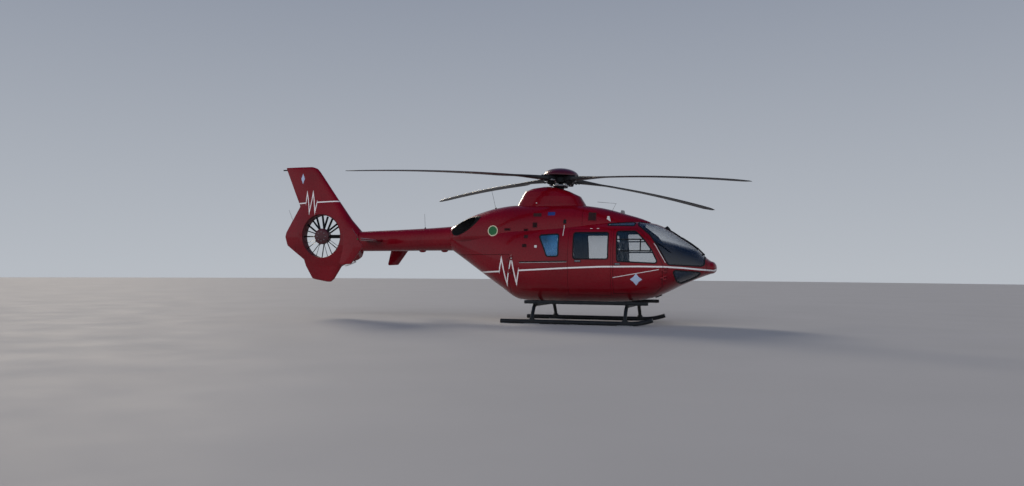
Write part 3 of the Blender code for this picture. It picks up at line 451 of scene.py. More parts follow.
def fair_table(rows, spacing=0.01, spread=0.05, straight=False):
    """A table's first column at an even spacing, and its other columns as curves over it.

    The curves run smoothly or straight from row to row; spread is how far their corners are softened.
    """
    rows = sorted(rows)
    xs = np.array([row[0] for row in rows])
    grid = np.arange(xs[0], xs[-1] + spacing / 2, spacing)
    grid[-1] = xs[-1]
    columns = []
    for column in range(1, len(rows[0])):
        ys = np.array([row[column] for row in rows])
        if straight:
            value = np.interp(grid, xs, ys)
        else:
            rise = np.diff(ys) / np.diff(xs)
            slope = np.zeros(len(ys))
            slope[0], slope[-1] = rise[0], rise[-1]
            both = rise[:-1] * rise[1:] > 0
            slope[1:-1][both] = 2 * (rise[:-1] * rise[1:])[both] / (rise[:-1] + rise[1:])[both]
            k = np.clip(np.searchsorted(xs, grid, side="right") - 1, 0, len(xs) - 2)
            span = xs[k + 1] - xs[k]
            t = (grid - xs[k]) / span
            value = ys[k] * (1 + 2 * t) * (1 - t) ** 2 + ys[k + 1] * t * t * (3 - 2 * t)
            value += span * t * (1 - t) * (slope[k] * (1 - t) - slope[k + 1] * t)
        count = int(3 * spread / spacing)
        weights = np.exp(-0.5 * (np.arange(-count, count + 1) * spacing / spread) ** 2)
        before = 2 * value[0] - value[count:0:-1]
        after = 2 * value[-1] - value[-2:-count - 2:-1]
        value = np.concatenate((before, value, after))
        columns.append(np.convolve(value, weights / weights.sum(), mode="valid"))
    return grid, columns


def powered(value, power):
    """A power of a number, with its sign kept."""
    return math.copysign(abs(value) ** power, value)


def squarish(half_width, low, high, waist, fullness, points=AROUND):
    """Points in Y and Z round a section that is widest at the waist."""
    found = []
    for k in range(points):
        turn = 2 * math.pi * k / points
        across, up = math.cos(turn), math.sin(turn)
        reach = high - waist if up >= 0 else waist - low
        found.append((powered(across, 2 / fullness) * half_width, waist + powered(up, 2 / fullness) * reach))
    return found


def stations_between(low, high, step=STEP, fine_end=None):
    """Evenly spaced places, drawn closer together over a fine end of a given length."""
    count = max(2, round((high - low) / step))
    found = [low + (high - low) * k / count for k in range(count + 1)]
    if fine_end:
        found = [x for x in found if x < high - fine_end]
        found += [high - fine_end * (1 - math.sin(math.pi / 2 * k / 14)) for k in range(15)]
    return found


def with_ends(xs, grow):
    """Stations and the places of their rings: the first and last lie further out."""
    return [(x, x + grow * ((x == xs[-1]) - (x == xs[0]))) for x in xs]


POD_GRID, POD_CURVES = fair_table(POD[2:])


def pod_at(x):
    """Underside, top, half width, waist and squareness of the pod."""
    start = POD_GRID[-1] - 0.06
    low, high, half, waist, full = (float(np.interp(min(x, start), POD_GRID, c)) for c in POD_CURVES)
    if x > start:
        share = math.sqrt(max(1.0 - ((x - start) / (POD[0][0] - start)) ** 2, 0.0))
        low, high, half = waist - (waist - low) * share, waist + (high - waist) * share, half * share
    return low, high, half, waist, full


def pod(name, grow=0.0, around=AROUND, step=STEP):
    """The cabin and rear body, every side moved out by grow."""
    tip = POD[0][0] - 0.0004
    xs = stations_between(POD[-1][0], tip, step, 0.20)
    if grow < -0.01:
        xs = [x for x in xs if x < tip - 3 * abs(grow)]
    rings = []
    for x, place in with_ends(xs, grow):
        low, high, half, waist, full = pod_at(x)
        ring = squarish(max(half + grow, 0.001), low - grow, high + grow, waist, full, around)
        rings.append([(place, y, z) for y, z in ring])
    return loft(name, rings)


def cowl(name, grow=0.0):
    """The engine cowls over the roof."""
    grid, (tops, halves) = fair_table(COWL)
    rings = []
    for x, place in with_ends(stations_between(COWL[-1][0], COWL[0][0]), grow):
        high, half = np.interp(x, grid, tops), np.interp(x, grid, halves)
        ring = squarish(half + grow, COWL_FOOT - 0.2 - grow, high + grow, COWL_FOOT, 2.8)
        rings.append([(place, y, z) for y, z in ring])
    return loft(name, rings)


def fairing(name, grow=0.0):
    """The hood over the rotor gearbox."""
    grid, curves = fair_table(FAIRING, 0.005, 0.007, straight=True)
    rings = []
    heights = stations_between(FAIRING[0][0], FAIRING[-1][0], 0.008)
    for height in heights:
        front, rear, half = (np.interp(height, grid, c) for c in curves)
        middle, reach = (front + rear) / 2, (front - rear) / 2
        ring = squarish(half + grow, -1.0, 1.0, 0.0, 2.6, 80)
        lift = grow if height == heights[-1] else 0.0
        rings.append([(middle + across * (reach + grow), y, height + lift) for y, across in ring])
    return loft(name, rings)


def boom(name, grow=0.0, reach=0.0):
    """The tail boom, its ends moved out by reach."""
    grid, curves = fair_table(BOOM)
    rings = []
    for x, place in with_ends(stations_between(BOOM[-1][0], BOOM[0][0], 0.08), reach):
        low, high, half = (np.interp(x, grid, c) for c in curves)
        ring = squarish(half + grow, low - grow, high + grow, (low + high) / 2, 2.3, 72)
        rings.append([(place, y, z) for y, z in ring])
    return loft(name, rings)


def grown(outline, distance):
    """An outline with each side moved out by a distance."""
    outline = list(outline)
    area = sum(a[0] * b[1] - b[0] * a[1] for a, b in zip(outline, outline[1:] + outline[:1]))
    turn = 1 if area > 0 else -1
    lines = []
    for a, b in zip(outline, outline[1:] + outline[:1]):
        step = Vector((b[0] - a[0], b[1] - a[1])).normalized()
        out = Vector((step.y, -step.x)) * turn * distance
        lines.append((Vector(a) + out, step))
    found = []
    for (p, u), (q, v) in zip(lines[-1:] + lines[:-1], lines):
        cross = u.x * v.y - u.y * v.x
        if abs(cross) < 1e-6:
            found.append(tuple(q))
            continue
        ahead = ((q.x - p.x) * v.y - (q.y - p.y) * v.x) / cross
        found.append(tuple(p + u * ahead))
    return found


def rounded(outline, radius, steps=6):
    """An outline with arcs for corners."""
    found = []
    count = len(outline)
    for k in range(count):
        before, corner, after = (Vector(outline[(k + d) % count]) for d in (-1, 0, 1))
        one, two = (before - corner), (after - corner)
        half = one.angle(two) / 2
        reach = min(radius / math.tan(half), one.length * 0.45, two.length * 0.45)
        bow = reach * math.tan(half)
        centre = corner + (one.normalized() + two.normalized()).normalized() * bow / math.sin(half)
        start = corner + one.normalized() * reach - centre
        end = corner + two.normalized() * reach - centre
        swing = start.angle_signed(end)
        for step in range(steps + 1):
            spoke = start.copy()
            spoke.rotate(Matrix.Rotation(-swing * step / steps, 2))
            found.append(tuple(centre + spoke))
    return found


def side_form(name, outline, side, inner):
    """An outline in X and Z drawn out on one side, from inner to beyond the hull."""
    low, high = sorted((side * inner, side * OUTSIDE))
    return plate(name, outline, low, high)


# Materials

MATH = "ShaderNodeMath"
MIX = "ShaderNodeMix"
RANGE = "ShaderNodeMapRange"
NOISE = "ShaderNodeTexNoise"


def linear(code):
    """A hex colour as the linear values that shaders use."""
    parts = [int(code[k:k + 2], 16) / 255 for k in (0, 2, 4)]
    return tuple(p / 12.92 if p <= 0.04045 else ((p + 0.055) / 1.055) ** 2.4 for p in parts) + (1.0,)


def node(tree, kind, inputs=(), out=0, **settings):
    """Add a node, set it, feed its inputs in order or by name, and give one of its outputs."""
    made = tree.nodes.new(kind)
    for key, value in settings.items():
        setattr(made, key, value)
    for key, value in (inputs.items() if isinstance(inputs, dict) else enumerate(inputs)):
        if isinstance(value, bpy.types.NodeSocket):
            tree.links.new(value, made.inputs[key])
        else:
            made.inputs[key].default_value = value
    return made.outputs[out] if made.outputs else made


def material(name, build, **constants):
    """A Principled material: build gives the sockets that vary, and constants go on the shader itself."""
    made = bpy.data.materials.new(name)
    made.use_nodes = True
    tree = made.node_tree
    add = partial(node, tree)
    shader = tree.nodes["Principled BSDF"]
    for key, value in constants.items():
        shader.inputs[key.replace("_", " ")].default_value = value
    place = add("ShaderNodeTexCoord", out="Object")
    for key, socket in build(add, place).items():
        tree.links.new(socket, shader.inputs[key])
    return made


def mottled(add, place, scale, low, high, detail=3.0, rough=0.55):
    """A value between low and high that wanders over the piece."""
    cloud = add(NOISE, {"Vector": place, "Scale": scale, "Detail": detail, "Roughness": rough})
    return add(RANGE, (cloud, 0.3, 0.7, low, high))


CRIMSON = "780416"
CRIMSON_DEEP = "680313"
WHITE = "E6E6E8"
GRIME = "6A5A52"

# Zigzags of the side and fin stripes: X where each starts, number of waves, length and height of a wave
SIDE_ZIGZAG = (-1.190, 2, 0.230, 0.280)
FIN_ZIGZAG = (-6.370, 2, 0.165, 0.240)
# Height of the side stripe along the hull: X, Z
SIDE_STRIPE = ((-2.00, 1.050), (-1.19, 1.090), (0.40, 1.175), (1.04, 1.202), (1.865, 1.211), (2.341, 1.207),
               (2.711, 1.186), (3.039, 1.156), (3.309, 1.134), (3.36, 1.170))
FIN_STRIPE = ((-6.75, 2.705), (-5.20, 2.755))
STRIPE_HALF, FIN_STRIPE_HALF = 0.016, 0.014
ZIGZAG_LINE = 0.82       # width of the line in a zigzag, as a share of the stripe's
DOOR_LINE = ((1.298, 0.978), (2.240, 1.150))     # a thin line that rises across the front door
DOOR_LINE_HALF = 0.006


def stripe_mask(add, x, z, line, zigzag, half):
    """One on a stripe that follows a line in X and Z with a row of equal teeth in it, and zero off it."""
    start, end = line[0][0], line[-1][0]
    low, high = min(pz for px, pz in line) - 0.1, max(pz for px, pz in line) + 0.1
    share = add(RANGE, (x, start + MAST_X, end + MAST_X, 0.0, 1.0))
    curve = add("ShaderNodeFloatCurve", (1.0, share))
    mapping = curve.node.mapping
    points = mapping.curves[0].points
    values = [((px - start) / (end - start), (pz - low) / (high - low)) for px, pz in line]
    points[0].location, points[1].location = values[0], values[-1]
    for value in values[1:-1]:
        points.new(*value)
    for spot in points:
        spot.handle_type = "VECTOR"
    mapping.update()
    base = add(MATH, (curve, high - low, low), operation="MULTIPLY_ADD")
    first, teeth, width, tall = zigzag
    run = add(MATH, (x, first + MAST_X), operation="SUBTRACT")
    begun = add(MATH, (run, 0.0), operation="GREATER_THAN")
    open_yet = add(MATH, (run, teeth * width), operation="LESS_THAN")
    inside = add(MATH, (begun, open_yet), operation="MULTIPLY")
    turns = add(MATH, (run, 2.0 / width, 0.5), operation="MULTIPLY_ADD")
    wave = add(MATH, (add(MATH, (turns,), operation="ABSOLUTE"), 1.0), operation="PINGPONG")
    wave = add(MATH, (wave, 2.0, -1.0), operation="MULTIPLY_ADD")
    wave = add(MATH, (wave, inside), operation="MULTIPLY")
    swing = add(MATH, (wave, tall), operation="MULTIPLY")
    middle = add(MATH, (base, swing), operation="ADD")
    off = add(MATH, (add(MATH, (z, middle), operation="SUBTRACT"),), operation="ABSOLUTE")
    steep = 1.0 / math.hypot(1.0, 4 * tall / width) / ZIGZAG_LINE
    squeeze = add(MATH, (inside, steep - 1.0, 1.0), operation="MULTIPLY_ADD")
    off = add(MATH, (off, squeeze), operation="MULTIPLY")
    return add(MATH, (off, half), operation="LESS_THAN")


# Two-pack aircraft paint under clear lacquer: deep red and very glossy, faint orange peel, road dust low down
def crimson_paint(name, line=None, zigzag=None, half=0.0):
    def build(add, place):
        parts = add("ShaderNodeSeparateXYZ", (place,)).node
        x, z = parts.outputs[0], parts.outputs[2]
        share = mottled(add, place, 1.1, 0.0, 1.0)
        colour = add(MIX, {0: share, 6: linear(CRIMSON), 7: linear(CRIMSON_DEEP)}, out=2, data_type="RGBA")
        low_down = add(RANGE, (z, 0.95, 0.42, 0.0, 0.16))
        dust = add(MATH, (mottled(add, place, 9.0, 0.0, 1.0, 6.0, 0.7), low_down), operation="MULTIPLY")
        colour = add(MIX, {0: dust, 6: colour, 7: linear(GRIME)}, out=2, data_type="RGBA")
        if line:
            mask = stripe_mask(add, x, z, line, zigzag, half)
            if line is SIDE_STRIPE:
                low, high = DOOR_LINE
                slope = (high[1] - low[1]) / (high[0] - low[0])
                height = add(MATH, (x, slope, low[1] - slope * (low[0] + MAST_X)), operation="MULTIPLY_ADD")
                off = add(MATH, (add(MATH, (z, height), operation="SUBTRACT"),), operation="ABSOLUTE")
                thin = add(MATH, (off, DOOR_LINE_HALF), operation="LESS_THAN")
                begun = add(MATH, (x, low[0] + MAST_X), operation="GREATER_THAN")
                open_yet = add(MATH, (x, high[0] + MAST_X), operation="LESS_THAN")
                within = add(MATH, (begun, open_yet), operation="MULTIPLY")
                thin = add(MATH, (thin, within), operation="MULTIPLY")
                mask = add(MATH, (mask, thin), operation="MAXIMUM")
            colour = add(MIX, {0: mask, 6: colour, 7: linear(WHITE)}, out=2, data_type="RGBA")
        rough = add(MATH, (dust, 1.4, mottled(add, place, 14.0, 0.24, 0.34, 4.0)), operation="MULTIPLY_ADD")
        peel = add(NOISE, {"Vector": place, "Scale": 160.0, "Detail": 1.0})
        relief = add("ShaderNodeBump", {"Height": peel, "Distance": 0.00006})
        return {"Base Color": colour, "Roughness": rough, "Normal": relief}
    return material(name, build, IOR=1.5, Specular_IOR_Level=0.15, Coat_Weight=0.55, Coat_Roughness=0.04,
                    Coat_IOR=1.5)


HULL_PAINT = crimson_paint("crimson_lacquer_with_side_stripe", SIDE_STRIPE, SIDE_ZIGZAG, STRIPE_HALF)
PLAIN_PAINT = crimson_paint("crimson_lacquer")
FIN_PAINT = crimson_paint("crimson_lacquer_with_fin_stripe", FIN_STRIPE, FIN_ZIGZAG, FIN_STRIPE_HALF)


def simple(name, dark, light, rough_low, rough_high, scale, grain=None, **constants):
    """A finish that wanders a little; grain is the scale and the depth in metres of a fine relief."""
    def build(add, place):
        share = mottled(add, place, scale, 0.0, 1.0)
        colour = add(MIX, {0: share, 6: linear(dark), 7: linear(light)}, out=2, data_type="RGBA")
        found = {"Base Color": colour, "Roughness": mottled(add, place, scale * 2.3, rough_low, rough_high)}
        if grain:
            speck = add(NOISE, {"Vector": place, "Scale": grain[0], "Detail": 2.0})
            found["Normal"] = add("ShaderNodeBump", {"Height": speck, "Distance": grain[1]})
        return found
    return material(name, build, **constants)


DEEP_TINT = "1B3550"
# Dark navy of the painted ground reflection across the windscreen's foot
GROUND_REFLECTION_TINT = "031224"


# Stretched acrylic, tinted blue grey: clear seen square on and mirror-like at a glance
def acrylic(name, code, clear, edge, shade=None):
    """The last argument asks for a dark band over the foot of the pane, a painted reflection of the ground:
    the height of its top at the mast, its fall per metre, softness and density.
    """
    def build(add, place):
        share = mottled(add, place, 1.6, 0.0, 1.0)
        tint = add(MIX, {0: share, 6: linear(code), 7: linear(DEEP_TINT)}, out=2, data_type="RGBA")
        glance = add("ShaderNodeLayerWeight", {"Blend": 0.35}, out="Facing")
        cover = add(RANGE, (glance, 0.0, 0.9, clear, edge))
        if shade:
            # Painted reflection of the ground: below a sloping line the pane gets a darker tint and denser
            # cover
            top, fall, soft, dense = shade
            parts = add("ShaderNodeSeparateXYZ", (place,)).node
            line = add(MATH, (parts.outputs[0], fall, -fall * MAST_X - top), operation="MULTIPLY_ADD")
            over = add(MATH, (parts.outputs[2], line), operation="ADD")
            dark = add(RANGE, (over, -soft, soft, 1.0, 0.0))
            tint = add(MIX, {0: dark, 6: tint, 7: linear(GROUND_REFLECTION_TINT)}, out=2, data_type="RGBA")
            dark = add(MATH, (dark, dense), operation="MULTIPLY")
            cover = add(MATH, (dark, cover), operation="MAXIMUM")
        return {"Base Color": tint, "Alpha": cover, "Roughness": mottled(add, place, 6.0, 0.01, 0.05)}
    return material(name, build, IOR=1.49, Specular_IOR_Level=0.9, Coat_Weight=1.0, Coat_Roughness=0.01)


WINDOW_GLASS = acrylic("tinted_acrylic_side_window", "24465E", 0.14, 0.75)
# Windscreen: the dark band at its foot is a painted reflection of the ground
SCREEN_GLASS = acrylic("tinted_acrylic_windscreen_painted_ground_reflection", "163A62", 0.10, 0.46, (2.360, 0.270, 0.060, 0.72))
# Roof window: pale blue grey with a high cover, a painted reflection of the sky
ROOF_GLASS_PAINTED_SKY = acrylic("acrylic_roof_window_painted_sky_reflection", "6E8799", 0.35, 0.80)
REAR_GLASS = acrylic("tinted_acrylic_rear_window", "4F9CD8", 0.40, 0.85)
CHIN_GLASS = acrylic("dark_acrylic_chin_window", "081626", 0.72, 0.96)
# EPDM rubber seal: matt black with a faint bloom
RUBBER = simple("black_rubber_seal", "0B0C0E", "15161A", 0.60, 0.80, 30.0)
# Moulded cabin trim: pale grey, slightly textured plastic
TRIM = simple("grey_moulded_trim", "74787C", "888C90", 0.55, 0.75, 5.0, (900.0, 0.00012))
# Vinyl floor covering: dark grey with a pebble grain
FLOORING = simple("grey_vinyl_floor", "2A2C2F", "3A3C40", 0.60, 0.80, 12.0, (600.0, 0.0002))
# Powder-coated steel tube: near black, satin, scuffed
GEAR_COAT = simple("black_powder_coat", "0C0F12", "1A1E22", 0.35, 0.60, 16.0, (700.0, 0.00005))
# Glass-fibre blade skin in polyurethane paint: dark grey, satin
BLADE_SKIN = simple("grey_blade_paint", "1C1D20", "2A2A2C", 0.38, 0.55, 3.0)
# Nickel erosion strip on a leading edge: bright, finely scratched
EROSION = simple("nickel_erosion_strip", "7C7A76", "96948F", 0.25, 0.42, 20.0, Metallic=1.0)
# Hard-anodised aluminium fittings: near black with a metallic sheen
HARD_ANODISED = simple("black_anodised_aluminium", "15171A", "24272B", 0.30, 0.48, 22.0, Metallic=0.7)
# Machined aluminium: light and finely brushed
MACHINED = simple("machined_aluminium", "A8AAAD", "C2C4C6", 0.22, 0.38, 26.0, Metallic=1.0)
# Heat-tinted stainless exhaust: brown-grey, sooty inside
EXHAUST_METAL = simple("heat_tinted_stainless", "2A2523", "4A3F38", 0.35, 0.60, 7.0, Metallic=0.9)
# Soot black of the exhaust's inner wall, partly painted shade there; it is painted shade only behind the vent
# slats
SOOT_AND_PAINTED_SHADE = simple("soot_and_painted_shade", "060606", "121110", 0.85, 0.95, 12.0)
# Black glare-free leatherette on the panel hood
HOOD_COVER = simple("black_leatherette", "06080C", "0C0F15", 0.70, 0.88, 25.0, (420.0, 0.0003),
                    Specular_IOR_Level=0.2)
# Display glass that is off: nearly black and glossy
DISPLAY = simple("dark_display_glass", "030508", "07101A", 0.04, 0.10, 10.0, Coat_Weight=1.0)
# White enamel on small fittings
WHITE_ENAMEL = simple("white_enamel", "C8CACC", "DADCDD", 0.25, 0.40, 12.0)
# Painted cap over the rotor hub: darker red, semi-gloss
CAP_PAINT = simple("dark_red_cap_paint", "3A0A14", "4C0E1A", 0.25, 0.38, 3.0, Coat_Weight=0.5,
                   Coat_Roughness=0.1)


# Woven seat cloth: charcoal wool mix, soft and matt, its 1.5 mm threads drawn 4 mm apart so that they show
def woven(name, dark, light, pitch, depth):
    def build(add, place):
        waves = {"Vector": place, "Scale": 0.314 / pitch, "Distortion": 0.4, "Detail": 1.0}

        def threads(direction):
            return add("ShaderNodeTexWave", waves, out="Fac", bands_direction=direction)
        grid = add(MATH, (threads("Y"), threads("DIAGONAL")), operation="MULTIPLY")
        share = add(MATH, (grid, mottled(add, place, 5.0, 0.5, 1.0)), operation="MULTIPLY")
        colour = add(MIX, {0: share, 6: linear(dark), 7: linear(light)}, out=2, data_type="RGBA")
        return {"Base Color": colour, "Roughness": add(RANGE, (grid, 0.0, 1.0, 0.95, 0.80)),
                "Normal": add("ShaderNodeBump", {"Height": grid, "Distance": depth})}
    return material(name, build, Specular_IOR_Level=0.25, Sheen_Weight=0.35, Sheen_Roughness=0.5)


SEAT_CLOTH = woven("charcoal_seat_cloth", "15171B", "30343C", 0.004, 0.0006)
# Polyester belt webbing: pale grey, tightly ribbed
WEBBING = woven("grey_belt_webbing", "55585C", "8A8D90", 0.003, 0.0004)
# Leatherette piping on the seat edges
PIPING = simple("black_leatherette_piping", "0A0A0C", "17171A", 0.45, 0.65, 40.0, (700.0, 0.0001))
# Adhesive vinyl film: satin and even, slightly faded
GREEN_FILM = simple("green_vinyl_film", "175A32", "1F6A3C", 0.30, 0.45, 20.0)
PALE_FILM = simple("pale_vinyl_film", "C9C4A8", "D6D1B8", 0.30, 0.45, 20.0)
PALE_BLUE_FILM = simple("pale_blue_vinyl_film", "A3B4D4", "B4C4DE", 0.30, 0.45, 20.0)
BLUE_FILM = simple("blue_vinyl_film", "17316E", "203C80", 0.30, 0.45, 20.0)
# Matt red paint inside the fan duct, darkened as painted shade
DUCT_PAINT_PAINTED_SHADE = simple("duct_paint_painted_shade", "4A0A12", "5C0E18", 0.50, 0.70, 6.0)
# Polycarbonate lamp cover: milky and smooth
LAMP_COVER = simple("clear_lamp_cover", "B8C0C6", "D5DADD", 0.08, 0.16, 15.0, Coat_Weight=1.0)
# Red filter glass of a position light
RED_LAMP = simple("red_lamp_cover", "7A0A0E", "99141A", 0.08, 0.16, 15.0, Coat_Weight=1.0)
# Grit strips on the steps: coal black, with 2 mm grains
GRIT = simple("black_grit_strip", "08090A", "17181A", 0.85, 0.95, 60.0, (900.0, 0.0009))
# Electroformed buttons and keys: dark grey plastic, satin
KEYS = simple("grey_key_plastic", "1B1D20", "2B2E33", 0.45, 0.60, 30.0)


# Camera, floor and light

# The photo's camera: turn to the left of +Y, tilt up and roll in degrees, place from the mast, lens for 36 mm
EYE_TURN = (17.491, 1.940, 0.405)
EYE_PLACE = (4.4127, -17.5685, 1.1044)
EYE_LENS = 28.84
# Name, where it stands, softness in degrees, strength, tint
LAMPS = (
    ("low_sun", (-11.0, 10.0, 9.0), 16, 1.9, "FFF0DA"), ("soft_front", (-5.0, -12.0, 9.0), 70, 1.2, "FFF8F0"),
    ("soft_nose", (12.0, -8.0, 6.0), 70, 0.45, "E8F0FF"),
)
SKY_STRENGTH = 0.72
AIM = Vector((0, 0, 1.5))                # what the lamps point at


def set_stage():
    yaw, pitch, roll = (math.radians(a) for a in EYE_TURN)
    ahead = Vector((-math.sin(yaw) * math.cos(pitch), math.cos(yaw) * math.cos(pitch), math.sin(pitch)))
    level = Vector((math.cos(yaw), math.sin(yaw), 0.0))
    upright = level.cross(ahead)
    across = level * math.cos(roll) + upright * math.sin(roll)
    up = upright * math.cos(roll) - level * math.sin(roll)
    eye = bpy.data.objects.new("camera", bpy.data.cameras.new("camera"))
    SCENE.collection.objects.link(eye)
    turn = Matrix((across, up, -ahead)).transposed().to_4x4()
    eye.matrix_world = Matrix.Translation(Vector(EYE_PLACE) + Vector((MAST_X, 0, 0))) @ turn
    eye.data.sensor_width = 36.0
    eye.data.lens = EYE_LENS
    eye.data.clip_end = 500.0
    SCENE.camera = eye

    def disc(shape):
        bmesh.ops.create_circle(shape, cap_ends=True, segments=96, radius=90.0)
    floor = built("studio_floor", disc, outward=False)

    floor.data.materials.append(simple("pale_studio_floor", "A6A7A9", "AAABAD", 0.75, 0.85, 0.35,
                                       Specular_IOR_Level=0.15))

    world = bpy.data.worlds.new("studio")
    world.use_nodes = True
    SCENE.world = world
    tree = world.node_tree
    add = partial(node, tree)
    backdrop = tree.nodes["Background"]
    way = add("ShaderNodeTexCoord", out="Generated")
    height = add("ShaderNodeSeparateXYZ", (way,), out=2)
    share = add(RANGE, (height, 0.0, 0.75, 0.0, 1.0))
    sky = add(MIX, {0: share, 6: linear("D3D9E1"), 7: linear("324F80")}, out=2, data_type="RGBA")
    tree.links.new(sky, backdrop.inputs["Color"])
    backdrop.inputs["Strength"].default_value = SKY_STRENGTH
    for name, where, spread, power, tint in LAMPS:
        lamp = bpy.data.lights.new(name, "SUN")
        lamp.energy = power
        lamp.angle = math.radians(spread)
        lamp.color = linear(tint)[:3]
        made = bpy.data.objects.new(name, lamp)
        SCENE.collection.objects.link(made)
        made.location = where
        made.rotation_mode = "QUATERNION"
        made.rotation_quaternion = (AIM - Vector(where)).to_track_quat("-Z", "Y")
        made.visible_glossy = name == "low_sun"
    SCENE.view_settings.view_transform = "Standard"


# Hull panels, windows and seals

FAR = 4.0
REACH_IN = 0.300        # Y from which side openings are cut outwards
CHIN_REACH = 0.120
SPLIT = 0.0005          # half the line between lower hull and cabin
SEAL_SKIN = 0.0016      # how proud of the skin a window's seal stands
SEAL_EDGES = (0.012, -0.014)         # from the edge of the opening
SEAL_LIP = 0.004        # of the seal behind the pane
DOOR_RUBBER = 0.010     # how deep the rubber round the doors lies
# Door, X and Y of its hinge pin, heights of its hinges
HINGES = (("front_door_", (2.336, 0.722), (0.985, 1.140)), ("clamshell_", (-0.944, 0.792), (1.100, 1.380)))


def crossed(source, name, form):
    """What a form takes from a copy of a closed body."""
    return carve(copied(source, name), form, "INTERSECT")


def make_hull():
    """Gives the hull's skins, its panels and the seals of each body; panes and hinges are settled here."""
    outer, inner = pod("pod_outer"), pod("pod_inner", -SKIN, 72, 0.07)
    shell = carve(copied(outer, "pod_shell"), copied(inner, "pod_space"))
    pane_outer, pane_inner = pod("pane_outer", -PANE_INSET), pod("pane_inner", -PANE_INSET - PANE)
    panes = carve(copied(pane_outer, "pane_shell"), copied(pane_inner, "pane_space"))
    seals = carve(pod("seal_shell", SEAL_SKIN), pod("seal_space", -PANE_INSET - PANE - SEAL_LIP))
    inset = carve(pod("inset", -DOOR_RUBBER), copied(inner, "inset_space"))
    half = SEAM / 2

    def panel(name, low, high):
        return crossed(shell, name, block("form", low, high))
    nose = panel("hull_nose", (NOSE_JOINT + half, -FAR, -FAR), (FAR, FAR, FAR))
    lower = panel("hull_lower", (REAR_JOINT, -FAR, -FAR), (NOSE_JOINT - half, FAR, SILL - SPLIT))
    upper = panel("hull_upper", (REAR_JOINT, -FAR, SILL + SPLIT), (NOSE_JOINT - half, FAR, FAR))
    aft = panel("hull_aft", (-FAR, -FAR, -FAR), (REAR_JOINT - GAP, FAR, FAR))
    pieces = []
    rubber = {"airframe": [], "front_door_left": [], "front_door_right": []}

    def window(carrier, name, outline, body, form, glass):
        edge = rounded(outline, CORNER)
        carve(carrier, form(edge))
        pane = crossed(panes, name + "_pane", form(grown(edge, -GAP)))
        take_curve(pane, (pane_outer, pane_inner), (glass, glass))
        settle(pane, body, [name])
        ring = carve(*(form(grown(edge, reach)) for reach in SEAL_EDGES))
        rubber[body].append(carve(ring, copied(seals, "seal_form"), "INTERSECT"))

    for side_name, side in SIDES:
        def outwards(reach):
            return lambda edge: side_form("form", edge, side, reach)

        def upwards(edge):
            return plate("form", edge, 1.9, 2.6, "Z")
        door, clamshell, slide = (kind + side_name for kind in ("front_door_", "clamshell_", "sliding_door_"))
        doors = ((FRONT_DOOR, DOOR_SEAM), (SLIDING_DOOR, SEAM))
        for hull_half in (lower, upper):
            for outline, seam in doors:
                carve(hull_half, side_form("form", grown(outline, seam), side, REACH_IN))
        roof = [(x, y * side) for x, y in ROOF_WINDOW]
        for carrier, kind, outline, form, glass in (
                (upper, "windscreen_", WINDSCREEN, outwards(CENTRE_POST), SCREEN_GLASS),
                (upper, "rear_window_", REAR_WINDOW, outwards(REACH_IN), REAR_GLASS),
                (lower, "chin_window_", CHIN_WINDOW, outwards(CHIN_REACH), CHIN_GLASS),
                (upper, "roof_window_", roof, upwards, ROOF_GLASS_PAINTED_SKY)):
            window(carrier, kind + side_name, outline, "airframe", form, glass)
        carve(aft, side_form("form", grown(CLAMSHELL, DOOR_SEAM), side, -DOOR_SEAM))

        for name, outline, reach, body, cad, opening in (
                ("door_slide_", SLIDING_DOOR, REACH_IN, "airframe", slide,
                 ("sliding_window_", SLIDING_DOOR_WINDOW)),
                ("door_front_", FRONT_DOOR, REACH_IN, door, door, ("front_window_", FRONT_DOOR_WINDOW)),
                ("door_rear_", CLAMSHELL, DOOR_SEAM / 2, clamshell, clamshell, None)):
            leaf = crossed(shell, "leaf", side_form("form", outline, side, reach))
            if opening:
                window(leaf, opening[0] + side_name, opening[1], body, outwards(REACH_IN), WINDOW_GLASS)
            pieces.append((leaf, name + side_name, body, cad))
        for outline, seam in doors:
            ring = carve(side_form("ring", grown(outline, seam - 0.0006), side, REACH_IN),
                         side_form("form", grown(outline, 0.0008), side, 0.0))
            rubber["airframe"].append(carve(ring, copied(inset, "inset_form"), "INTERSECT"))
        for kind, pin, heights in HINGES:
            for height in heights:
                hinge(side, pin, height, kind + side_name)
    carve(lower, cross_tube_form("form", CROSS_TUBES["front"], GAP))
    pieces += [(nose, "hull_nose_cap", "airframe", "nose_cap"),
               (upper, "hull_cabin", "airframe", "cabin_frame"),
               (aft, "hull_aft_body", "airframe", "aft_fuselage"),
               (lower, "hull_lower_body", "airframe", "lower_fuselage")]
    drop(shell, pane_outer, pane_inner, panes, seals, inset)
    return (outer, inner), pieces, rubber


def hinge(side, pin, height, body):
    """Three machined knuckles on a pin, with straps to the door ahead of or behind it and to the frame."""
    radius, tall, depth, play = 0.013, 0.030, 0.100, 0.0005
    strap = arc(radius, radius, range(90, 271, 15))
    strap += [(0.062, -radius), (0.062, depth), (0.034, depth), (0.034, radius)]

    def knuckle(middle, towards):
        outline = [(pin[0] + towards * ahead, side * (pin[1] - inboard)) for ahead, inboard in strap]
        return plate("knuckle", outline, middle - tall / 2, middle + tall / 2, "Z")
    own = knuckle(height, -1)
    others = joined("others", [knuckle(height + tall + play, 1), knuckle(height - tall - play, 1)])
    tag = "%s_%d" % (body, round(height * 1000))
    fit(own, PLAIN_PAINT, body=body).name = "hinge_leaf_" + tag
    fit(others, PLAIN_PAINT).name = "hinge_seat_" + tag


